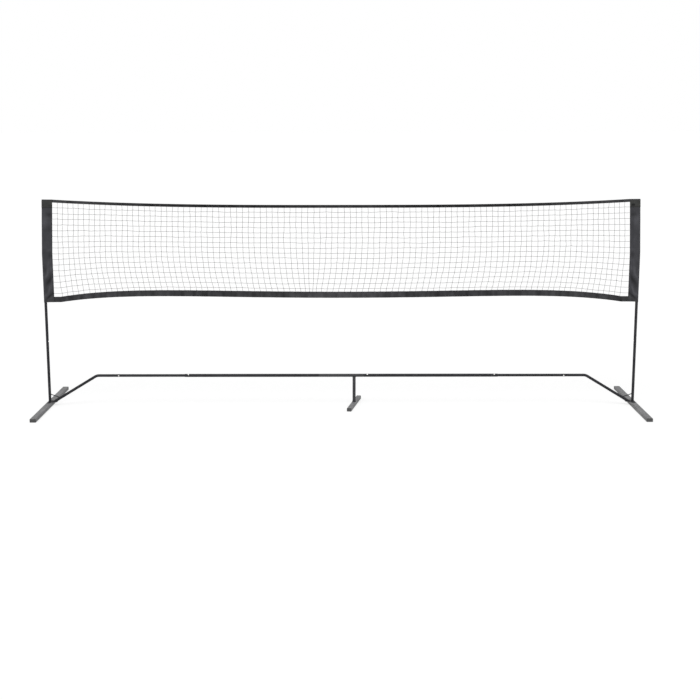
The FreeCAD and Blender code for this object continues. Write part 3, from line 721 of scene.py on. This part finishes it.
share = np.broadcast_to(row_share[:, None], (ROWS, COLUMNS))
loose = wander(ROWS, COLUMNS, 0, COLUMN_WANDER) + rng.normal(0.0, KNOT_SCATTER, (ROWS, COLUMNS))
knot_station = column_station + lean(column_station, share) + loose / NET_HALF
knot_z = mesh_height(knot_station, share) + wander(ROWS, COLUMNS, 1, ROW_WANDER)
knot_z = knot_z + rng.normal(0.0, KNOT_SCATTER, (ROWS, COLUMNS))
knot_y = rng.normal(0.0, KNOT_SCATTER / 3.0, (ROWS, COLUMNS))
knots = np.stack([net_x(knot_station, knot_z), knot_y, knot_z], axis=-1)
print("knots", knots.shape[0] * knots.shape[1])

# %% Level and upright cords


def cord_ends(station, z):
    """End points of the cords, in the plane of the net."""
    return np.stack([net_x(station, z), np.zeros_like(z), z], axis=-1)[:, None, :]


sleeve_station = 1.0 + TUCK / NET_HALF
left_stop = cord_ends(-sleeve_station, mesh_height(-1.0, row_share))
right_stop = cord_ends(sleeve_station, mesh_height(1.0, row_share))
level_stops = np.concatenate([left_stop, knots, right_stop], axis=1)
level_sag = np.zeros((ROWS, COLUMNS + 1, 3))
level_sag[..., 2] = -LEVEL_SAG * rng.uniform(*SAG_RANGE, (ROWS, COLUMNS + 1))
twine("net_twine_level", through(level_stops, LEVEL_STEPS, level_sag), "net_cords_level")

low_station = column_station + lean(column_station, np.ones(COLUMNS))
top_stop = cord_ends(column_station, mesh_top(column_station) + TUCK)
low_stop = cord_ends(low_station, mesh_bottom(low_station) - TUCK)
upright_stops = np.concatenate([top_stop, knots.transpose(1, 0, 2), low_stop], axis=1)
upright_sag = np.zeros((COLUMNS, ROWS + 1, 3))
upright_sag[..., 0] = UPRIGHT_BOW * rng.normal(0.0, 1.0, (COLUMNS, ROWS + 1))
twine("net_twine_upright", through(upright_stops, UPRIGHT_STEPS, upright_sag), "net_cords_upright")

# %% [markdown]
# ## The knots themselves
#
# Each crossing is a small lump of twine, wider than it is deep. A cube with its faces cut in
# four and its corners pushed out to a sphere has no poles and only 24 faces, so sixteen
# hundred of them stay light. The same lump, drawn out, will make the sewing stitches.

# %% Lumps
KNOT_SIZE = (0.0020, 0.0016, 0.0015)


def cube_ball(cuts):
    """A ball without poles: the grids on a cube's six sides, pushed out to radius 1. Grid
    lines stand at the tangents of even angles, which evens out the faces."""
    line = np.tan(np.linspace(-1.0, 1.0, cuts + 1) * math.pi / 4.0)
    a, b = np.meshgrid(line, line, indexing="ij")
    side_faces = grid_faces(cuts + 1, cuts + 1)[0]
    pair = [np.stack([a, b * sign, np.full_like(a, sign)], axis=-1) for sign in (1.0, -1.0)]
    sides = [np.roll(side, turns, axis=-1) for turns in range(3) for side in pair]
    points = unit(np.concatenate(sides).reshape(-1, 3))
    corners, number = np.unique(points.round(6), axis=0, return_inverse=True)
    return corners, number.ravel()[repeated(side_faces, (cuts + 1) ** 2, len(sides))]


def lumps(name, centres, along, outward, size, material):
    """Many copies of one lump. Along and outward are unit directions for each copy, and size
    is the lump's half length, half width and half height."""
    ball, faces = cube_ball(2)
    axes = np.stack([along, np.cross(outward, along), outward], axis=1) * np.array(size)[:, None]
    points = centres[:, None, :] + ball @ axes
    faces = repeated(faces, len(ball), len(centres))
    return make_piece(name, points, faces, material)


knot_centres = knots.reshape(-1, 3)
tilt = rng.uniform(0.0, math.pi, len(knot_centres))
knot_along = np.stack([np.cos(tilt), np.zeros_like(tilt), np.sin(tilt)], axis=-1)
knot_out = np.broadcast_to([0.0, -1.0, 0.0], knot_along.shape)
lumps("net_knots", knot_centres, knot_along, knot_out, KNOT_SIZE, net_twine)

# %% [markdown]
# ## Cloth
#
# Sleeves and hems are woven polyester. Threads pass over and under each other, so the relief
# of a plain weave is close to the product of two sines, one for each set of threads. The
# pattern follows each piece's UV map, which is laid out in metres along and across the cloth.
# Folds keep their own light out, so each cloth point also carries a shade, painted into its
# colour: above 0 it darkens the dye, below 0 it lightens it. On folds and puckers this is
# painted shade in the troughs and painted light on the ridges; on the hems it also holds a
# tone line along their length.

# %% Cloth material
WEAVE_RELIEF = 0.00008
WEAVE_SHADES = (0.85, 1.1)


def cloth(name, dark, light, pitch, roughness):
    """Plain woven cloth. Its colours are in thousandths, and pitch is the distance between
    threads."""
    dark, light = (tuple(part / 1000.0 for part in colour) for colour in (dark, light))
    material, tree, place = new_material(name)
    uv = add(tree, "SeparateXYZ", {0: add(tree, "TexCoord").outputs["UV"]}).outputs
    turns = [maths(tree, "MULTIPLY", uv[axis], 2.0 * math.pi / pitch) for axis in ("X", "Y")]
    weave = maths(tree, "MULTIPLY", *(maths(tree, "SINE", turn) for turn in turns))
    faded = blotches(tree, place, 22.0, dark, light, detail=5.0)
    # Painted shade: the shade attribute darkens the dye in troughs and lightens it on ridges as
    # painted light, and also carries the hems' tone lines.
    shade = add(tree, "Attribute", attribute_name="shade").outputs["Fac"]
    lit = maths(tree, "SUBTRACT", 1.0, shade)
    weave_and_painted_shade = maths(tree, "MULTIPLY", between(tree, weave, *WEAVE_SHADES), lit)
    dye_and_painted_shade = add(tree, "VectorMath", {0: faded, "Scale": weave_and_painted_shade}, operation="SCALE")
    skin = {
        "Base Color": dye_and_painted_shade.outputs[0],
        "Normal": relief(tree, weave, WEAVE_RELIEF),
        "Roughness": roughness,
        "Specular IOR Level": 0.12,
        "Sheen Weight": 0.03,
        "Sheen Roughness": 0.5,
    }
    return finish(material, skin)


sleeve_cloth = cloth("sleeve_cloth", (46, 46, 51), (62, 62, 69), 0.0007, 0.65)
band_cloth = cloth("band_cloth", (43, 43.5, 42), (60, 60.5, 58), 0.0009, 0.7)
top_cloth = cloth("top_hem_cloth", (26, 26, 28), (40, 40, 42), 0.0009, 0.7)
bottom_cloth = cloth("bottom_hem_cloth", (36, 36, 39), (60, 60, 64), 0.0009, 0.7)
thread = cloth("sewing_thread", (10, 10, 11), (18, 18, 19), 0.0004, 0.6)
CLOTH_THICKNESS = 0.0005


def thicken(piece):
    """Gives a sheet its thickness, on the side that its faces look away from."""
    shell = piece.modifiers.new("thickness", "SOLIDIFY")
    shell.thickness = CLOTH_THICKNESS
    shell.offset = -1.0


# %% [markdown]
# ## The hems
#
# Each hem is one strip of cloth folded over the edge of the net, so its section is a narrow
# U: up the front, round the fold and down the back. One function gives any point of the
# strip from its station and the way across, from -1 at the front edge through 0 at the fold
# to 1 at the back edge. Sewing draws the cloth up, so the hem puckers, and the puckers carry
# painted shade and painted light in the colour. Sines with lengths that don't divide each
# other look irregular and repeat each time the lesson runs. Each hem is also darker or paler
# along its length by a tone line: some stations out from the middle and the shades there,
# joined by straight runs.

# %% Hem surfaces
HEM_TUCK = 0.006
HEM_STEP = 0.006
HEM_COLUMNS = 29
HEM_BACK = np.array([0.0, 0.02, 0.08, 0.2, 0.5, 0.85, 1.0])
HEM_BACK_Y = np.array([0.0, 0.9, 1.5, 1.15, 1.05, 1.0, 0.9]) / 1000.0
HEM_ACROSS = np.concatenate([-HEM_BACK[:0:-1], HEM_BACK])
HEM_SECTION = np.concatenate([-HEM_BACK_Y[:0:-1], HEM_BACK_Y])
PUCKERS = ((0.187, 0.9), (0.0731, 0.75), (0.0427, 0.55), (0.0293, 0.4), (0.0171, 0.22))
TOP_PUCKER = 0.0007
BOTTOM_PUCKER = 0.0019
PUCKER_SHADE = 0.16
PUCKER_SLANT = 0.9
SLANT_STEP = 0.35
PHASE_STEP = 1.7
PUCKER_FADE = 0.05
PUCKER_LEAST = 0.35
PUCKER_OPEN = (0.05, 0.75)
# Tone lines: stations out from the middle and the shades there, making each hem darker or paler
# along its length.
TOP_TONE_LINE = (0.0, 0.1, 0.22, 0.6, 0.75, 0.88, 1.0), (0.1, 0.2, 0.45, 0.4, 0.1, -0.4, -0.5)
BOTTOM_TONE_LINE = (0.0, 0.08, 0.22, 0.45, 0.65, 0.85, 1.0), (-0.38, -0.3, 0.1, 0.22, 0.02, -0.05, 0.32)


def puckers(station, across):
    """Sideways push of a hem's cloth as a share of its size: sines along the hem, slanted and
    stronger at the open edge."""
    open_share = np.abs(across)
    push = np.zeros(np.broadcast(station, across).shape)
    for number, (length, weight) in enumerate(PUCKERS):
        slant = (PUCKER_SLANT - SLANT_STEP * number) * open_share
        turn = 2.0 * math.pi * NET_HALF * station / length
        push = push + weight * np.sin(turn + slant + PHASE_STEP * number)
    fade = np.clip(NET_HALF * (1.0 - np.abs(station)) / PUCKER_FADE, 0.0, 1.0)
    swing = np.sin(math.pi * np.clip(open_share, *PUCKER_OPEN))
    return push * fade * (PUCKER_LEAST + (1.0 - PUCKER_LEAST) * swing)


def hem_surface(station, across, open_line, fold_line, pucker_size):
    """Points of a folded hem. The height runs from the open edge to the fold with the way
    across, and y is the U section plus the puckers."""
    share = 1.0 - np.abs(across)
    edge = np.clip(station, -1.0, 1.0)
    z = open_line(edge) + (fold_line(edge) - open_line(edge)) * share
    y = np.interp(across, HEM_ACROSS, HEM_SECTION) + pucker_size * puckers(station, across)
    return np.stack(np.broadcast_arrays(net_x(station, z), y, z), axis=-1)


def hem(name, lines, pucker_size, tone_line, depth, material, node):
    """One hem as a sheet of cloth. Lines gives the heights of its open edge and its fold. A
    fold at the bottom needs its grid read the other way round for its faces to look out."""
    count = int(2.0 * NET_HALF / HEM_STEP)
    end = 1.0 + HEM_TUCK / NET_HALF
    station = np.linspace(-end, end, count)[:, None]
    marks = np.arange(len(HEM_ACROSS))
    across = np.interp(np.linspace(0, marks[-1], HEM_COLUMNS), marks, HEM_ACROSS)[None, :]
    points = hem_surface(station, across, *lines, pucker_size)
    faces, places = grid_faces(count, HEM_COLUMNS)
    uv = places * (2.0 * depth / HEM_COLUMNS, HEM_STEP)
    if lines[1](0.0) < lines[0](0.0):
        faces, uv = faces[:, ::-1], uv[:, ::-1]
    # Painted shade and painted light that follow the puckers, plus the tone line along the hem.
    shade = PUCKER_SHADE * puckers(station, across) * np.sign(across)
    shade = shade + np.interp(np.abs(station), *tone_line)
    piece = make_piece(name, points, faces, material, uv, shade)
    thicken(piece)
    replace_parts(piece, node)
    return piece


TOP = (mesh_top, top_line), TOP_PUCKER
BOTTOM = (mesh_bottom, bottom_line), BOTTOM_PUCKER
top_hem = hem("net_top_hem", *TOP, TOP_TONE_LINE, TOP_DEPTH, top_cloth, "net_top_tape")
bottom_hem = hem(
    "net_bottom_hem", *BOTTOM, BOTTOM_TONE_LINE, BOTTOM_DEPTH, bottom_cloth, "net_bottom_tape"
)

# %% [markdown]
# ## The sleeves
#
# A sleeve is one piece of cloth wrapped round the post and sewn to itself in a flap, with
# the net's edge between its layers. Seen from above, it is a teardrop: an arc behind the
# post, two straight runs that touch the arc, and the flat flap. The section is kept as
# points along its own length, so any place on the cloth is found from how far round it lies
# and how high.

# %% Sleeve section
SLEEVE_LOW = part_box("net_sleeve_left")[0].z
SLEEVE_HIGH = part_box("net_sleeve_left")[1].z
WRAP_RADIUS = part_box("net_sleeve_left")[1].y
SEAM_REACH = 0.038
HALF_FLAP = 0.0016
ARC_POINTS = 25


def wrap_section():
    """The teardrop as (distance from the post towards the net, y), from the front flap's
    edge round the post to the back flap's edge."""
    reach = math.hypot(SEAM_REACH, HALF_FLAP)
    touch = math.acos(WRAP_RADIUS / reach) + math.atan2(HALF_FLAP, SEAM_REACH)
    angle = np.linspace(touch, math.pi, ARC_POINTS)
    flap = [[FLAP_REACH, HALF_FLAP], [SEAM_REACH, HALF_FLAP]]
    arc = WRAP_RADIUS * np.stack([np.cos(angle), np.sin(angle)], axis=-1)
    half = np.concatenate([flap, arc])
    return np.concatenate([half * (1.0, -1.0), half[-2::-1]])


SECTION = wrap_section()
SECTION_WAY = run_along(SECTION)
GIRTH = SECTION_WAY[-1]
print("cloth round a post:", round(1000 * GIRTH, 1), "mm")

# %% [markdown]
# Cloth that is pulled down at one corner folds on a slant. Each fold here is a soft oval
# ridge or trough, a Gaussian along its slanted line times one across it. They crowd at the
# lower end, where the hem pulls. Behind the post the cloth can only stand off, never sink
# in, so only the outward part of the folds is used there. One number gives a fold both its
# depth and a shade painted into the cloth's colour, so troughs carry painted shade and
# ridges painted light.

# %% Sleeve surface
# Each fold's middle (distance from the post towards the net, height above the lower end),
# slope, half length along the net, half height and painted shade, which is below 0 for the
# painted light of a ridge
FOLDS = (
    (0.029, 0.0400, 0.86, 0.028, 0.0100, 0.72),
    (0.006, 0.0540, 0.50, 0.009, 0.0100, -0.55),
    (0.046, 0.0320, 0.80, 0.011, 0.0080, -0.50),
    (0.054, 0.0660, 0.00, 0.006, 0.0180, 0.34),
    (0.032, 0.0860, 2.30, 0.015, 0.0230, -0.66),
    (0.008, 0.1050, 0.00, 0.010, 0.0260, 0.14),
    (0.020, 0.1400, 0.60, 0.015, 0.0220, 0.40),
    (0.040, 0.1680, 1.10, 0.015, 0.0260, 0.58),
    (0.014, 0.1880, 1.00, 0.011, 0.0130, -0.60),
    (0.027, 0.2200, 0.00, 0.010, 0.0280, -0.66),
    (0.046, 0.2420, 0.00, 0.010, 0.0200, -0.40),
    (0.010, 0.2300, 0.00, 0.009, 0.0220, 0.18),
    (0.040, 0.2900, 1.20, 0.018, 0.0220, -0.30),
    (0.046, 0.3360, 0.60, 0.016, 0.0160, 0.26),
    (0.042, 0.3740, 0.50, 0.016, 0.0140, -0.26),
    (0.030, 0.4500, -1.70, 0.022, 0.0260, -0.14),
    (0.044, 0.5400, 0.50, 0.016, 0.0280, 0.20),
    (0.015, 0.5860, -0.20, 0.024, 0.0460, -0.56),
    (0.040, 0.6270, 0.00, 0.024, 0.0150, 0.40),
    (0.048, 0.6880, 0.00, 0.018, 0.0140, 0.36),
)
BACK_SHIFT = 0.021
FOLD_DEPTH = 0.0040
PALEST = -0.6
DARKEST = 0.75
SEWN_START = 0.8
SEWN_HOLD = 0.65
GROOVE_DEPTH = 0.0004
GROOVE_INSET = 0.003
GROOVE_WIDTH = 0.0015
OVER_POST_START = 1.5
OVER_POST_SHARE = 0.5
PROBE = 0.001


def folds(distance, height, front):
    """Shade of all folds at a distance from the post and a height above the lower end. The
    back's folds lie a little higher than the front's."""
    shade = np.zeros(np.broadcast(distance, height).shape)
    for middle, level, slope, reach, half_height, size in FOLDS:
        along = (distance - middle) / reach
        line = level + np.where(front, 0.0, BACK_SHIFT) + slope * (distance - middle)
        shade = shade + size * np.exp(-(along**2) - ((height - line) / half_height) ** 2)
    return np.clip(shade, PALEST, DARKEST)


def cloth_push(distance, push):
    """How far the cloth moves for the folds' push: less in the sewn flap, less again and
    outwards alone over the post, with a groove along the seam."""
    sewn = np.clip((distance / SEAM_REACH - SEWN_START) / (1.0 - SEWN_START), 0.0, 1.0)
    push = push * (1.0 - SEWN_HOLD * sewn)
    groove = np.exp(-(((distance - SEAM_REACH - GROOVE_INSET) / GROOVE_WIDTH) ** 2))
    over_post = np.clip(OVER_POST_START - distance / WRAP_RADIUS, 0.0, 1.0)
    push = push * (1.0 - over_post) + np.maximum(push, 0.0) * OVER_POST_SHARE * over_post
    return push - GROOVE_DEPTH * groove


def sleeve_surface(sign, way, z, lift=0.0):
    """Points on a sleeve, the cloth's outward directions and its shade, from the way round
    the section and the height. Lift raises the points off the cloth."""
    way, z = np.broadcast_arrays(way, z)
    ahead, behind = (np.clip(way + step, 0.0, GIRTH) for step in (PROBE, -PROBE))
    run = unit(at_stops(ahead, SECTION_WAY, SECTION) - at_stops(behind, SECTION_WAY, SECTION))
    inward = np.stack([run[..., 1], -run[..., 0]], axis=-1)
    place = at_stops(way, SECTION_WAY, SECTION)
    shade = folds(place[..., 0], z - SLEEVE_LOW, way < GIRTH / 2.0)
    push = cloth_push(place[..., 0], -FOLD_DEPTH * shade) + lift
    distance, y = np.moveaxis(place - inward * push[..., None], -1, 0)
    points = np.stack([sign * (POST_X - post_inset(z) - distance), y, z], axis=-1)
    outward = np.stack([sign * inward[..., 0], -inward[..., 1], np.zeros_like(y)], axis=-1)
    return points, outward, shade


# %% [markdown]
# The top is closed by drawing the front and back together over the post cap. The last rows
# of the grid keep their x and shrink their y to nothing, and the two halves then share one
# row of points, so the cloth is closed along the middle.

# %% Sleeve pieces
SLEEVE_ROWS = 150
SLEEVE_COLUMNS = 81
LID_DEPTH = 0.003
LID_ROWS = ((0.0012, 1.0), (0.0004, 0.94), (0.0, 0.80), (0.0, 0.40), (0.0, 0.0))


def wrap(name, points, height, material, shade, closed=False):
    """A sheet round a post, from a grid of points whose rows are a height apart. Closed
    joins the two halves of the last row. The grid is read backwards on both sides, so the
    thickness goes inwards on the right sleeve and outwards on the left one."""
    rows = len(points)
    faces, places = grid_faces(rows, SLEEVE_COLUMNS)
    if closed:
        last = (rows - 1) * SLEEVE_COLUMNS
        mirrored = 2 * last + SLEEVE_COLUMNS - 1 - faces
        faces = np.where(faces > last + SLEEVE_COLUMNS // 2, mirrored, faces)
    uv = places * (GIRTH / SLEEVE_COLUMNS, height)
    faces, uv = faces[:, ::-1], uv[:, ::-1]
    piece = make_piece(name, points, faces, material, uv, shade)
    thicken(piece)
    return piece


def sleeve(side, sign):
    """The sleeve at one end of the net, closed at the top and open at the bottom."""
    z = np.linspace(SLEEVE_LOW, SLEEVE_HIGH - LID_DEPTH, SLEEVE_ROWS)[:, None]
    body, _, shade = sleeve_surface(sign, ROUND, z)
    rim = body[-1]
    lid = [rim * (1.0, y, 0.0) + (0.0, 0.0, SLEEVE_HIGH - drop) for drop, y in LID_ROWS]
    shade = np.concatenate([shade, np.zeros((len(lid), SLEEVE_COLUMNS))])
    row_height = (SLEEVE_HIGH - SLEEVE_LOW) / SLEEVE_ROWS
    points = np.concatenate([body, lid])
    piece = wrap("sleeve_" + side, points, row_height, sleeve_cloth, shade, closed=True)
    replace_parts(piece, "net_sleeve_" + side)
    return piece


ROUND = np.linspace(0.0, GIRTH, SLEEVE_COLUMNS)
SIDES = {"left": -1.0, "right": 1.0}
sleeves = {side: sleeve(side, sign) for side, sign in SIDES.items()}

# %% [markdown]
# ## Bands round the sleeves
#
# A second layer of cloth goes round each sleeve at both ends. The top band is level. The
# foot band carries on the bottom hem, and its upper edge follows the crease that climbs from
# the post to the hem.

# %% Bands
BAND_LIFT = 0.0008
BAND_ROWS = 14
TOP_BAND_DEPTH = 0.052
TOP_BAND_DROP = 0.004
FOOT_BAND_START = 0.010
FOOT_BAND_SLOPE = 0.86
BAND_SHADE = 0.6


def foot_band_top(way):
    """Height of the foot band's upper edge, from the way round the sleeve's section."""
    distance = np.interp(way, SECTION_WAY, SECTION[:, 0])
    return SLEEVE_LOW + FOOT_BAND_START + FOOT_BAND_SLOPE * distance


def band(name, sign, low, high, material):
    """A layer of cloth over a sleeve, between two heights for each way round it."""
    z = low + (high - low) * np.linspace(0.0, 1.0, BAND_ROWS)[:, None]
    points, _, shade = sleeve_surface(sign, ROUND, z, BAND_LIFT)
    row_height = np.mean(high - low) / BAND_ROWS
    # The band's colour carries part of the folds' painted shade and painted light.
    return wrap(name, points, row_height, material, BAND_SHADE * shade)


TOP_BAND_HIGH = SLEEVE_HIGH - TOP_BAND_DROP
TOP_BAND_LOW = TOP_BAND_HIGH - TOP_BAND_DEPTH
foot_high = foot_band_top(ROUND)
top_bands, foot_bands = {}, {}
for side, sign in SIDES.items():
    top_bands[side] = band("sleeve_top_band_" + side, sign, TOP_BAND_LOW, TOP_BAND_HIGH, band_cloth)
    foot_bands[side] = band("sleeve_foot_band_" + side, sign, SLEEVE_LOW, foot_high, bottom_cloth)

# %% [markdown]
# ## Sewing
#
# A lockstitch shows as a row of short raised threads, one after another. The lump that made
# the knots, drawn out thin, makes each stitch. A row is any line of points on the cloth; the
# stitches are spread along it at an even pitch. Where the top hem joins a sleeve, a block of
# close stitches, a bar tack, takes the pull.

# %% Stitches
STITCH_PITCH = 0.0055
STITCH_SIZE = (0.0020, 0.00042, 0.00038)
STITCH_LIFT = 0.0002
TACK_WIDTH = 0.022
TACK_INSET = 0.012
TACK_DROP = 0.019
TACK_ROWS = 4
TACK_ROW_PITCH = 0.0037
TACK_COLUMNS = 22
HEM_STITCH_POINTS = 1400
SEAM_STITCH_INSET = 0.003
EDGE_STITCH_INSET = 0.004
SEAM_LOW_INSET = 0.004
SEAM_HIGH_INSET = 0.006
SEAM_POINTS = 300
BAND_END_INSET = 0.002
BAND_POINTS = 200
TOP_HEM_ROWS = (0.80,)
BOTTOM_HEM_ROWS = (0.12, 0.86)


def stitch_row(line, outward):
    """Places, ways and outward directions of stitches along a line of points."""
    run = run_along(line)
    stops = np.arange(STITCH_PITCH / 2.0, run[-1], STITCH_PITCH)
    along = unit(at_stops(stops + PROBE, run, line) - at_stops(stops - PROBE, run, line))
    out = at_stops(stops, run, outward)
    out = unit(out - along * (out * along).sum(axis=1, keepdims=True))
    return at_stops(stops, run, line), along, out


def sew(name, rows):
    """One piece with the stitches of several rows."""
    centres, along, out = [np.concatenate(part) for part in zip(*rows)]
    return lumps(name, centres + STITCH_LIFT * out, along, out, STITCH_SIZE, thread)


def hem_rows(shares, lines, pucker_size):
    """Stitch rows on the front and back of a hem, at shares of the way from its fold."""
    station = np.linspace(-1.0, 1.0, HEM_STITCH_POINTS)
    rows = []
    for share in shares:
        for face in (-1.0, 1.0):
            line = hem_surface(station, np.full_like(station, face * share), *lines, pucker_size)
            rows.append(stitch_row(line, np.broadcast_to([0.0, face, 0.0], line.shape)))
    return rows


def sleeve_rows(sign):
    """Stitch rows down a sleeve's seam and flap, and round its bands."""
    z = np.linspace(SLEEVE_LOW + SEAM_LOW_INSET, SLEEVE_HIGH - SEAM_HIGH_INSET, SEAM_POINTS)
    insets = (FLAP_REACH - SEAM_REACH - SEAM_STITCH_INSET, EDGE_STITCH_INSET)
    places = [(way, z) for inset in insets for way in (inset, GIRTH - inset)]
    way = np.linspace(BAND_END_INSET, GIRTH - BAND_END_INSET, BAND_POINTS)
    places.append((way, foot_band_top(way) - EDGE_STITCH_INSET))
    places.append((way, np.full_like(way, TOP_BAND_LOW + EDGE_STITCH_INSET)))
    return [stitch_row(*sleeve_surface(sign, *place, BAND_LIFT)[:2]) for place in places]


def bar_tack(sign):
    """A block of close upright stitches at the front and back of the sleeve."""
    parts = []
    middle = mesh_top(1.0) - TACK_DROP
    for start in (TACK_INSET, GIRTH - TACK_INSET - TACK_WIDTH):
        way = start + np.linspace(0.0, TACK_WIDTH, TACK_COLUMNS)
        for row in range(TACK_ROWS):
            height = middle + (row - (TACK_ROWS - 1) / 2.0) * TACK_ROW_PITCH
            centres, out = sleeve_surface(sign, way, height, BAND_LIFT)[:2]
            parts.append((centres, np.broadcast_to([0.0, 0.0, 1.0], out.shape), out))
    return parts


top_sewing = sew("top_hem_stitches", hem_rows(TOP_HEM_ROWS, *TOP))
bottom_sewing = sew("bottom_hem_stitches", hem_rows(BOTTOM_HEM_ROWS, *BOTTOM))
for side, sign in SIDES.items():
    rows = sleeve_rows(sign) + bar_tack(sign)
    sew("sleeve_stitches_" + side, rows)
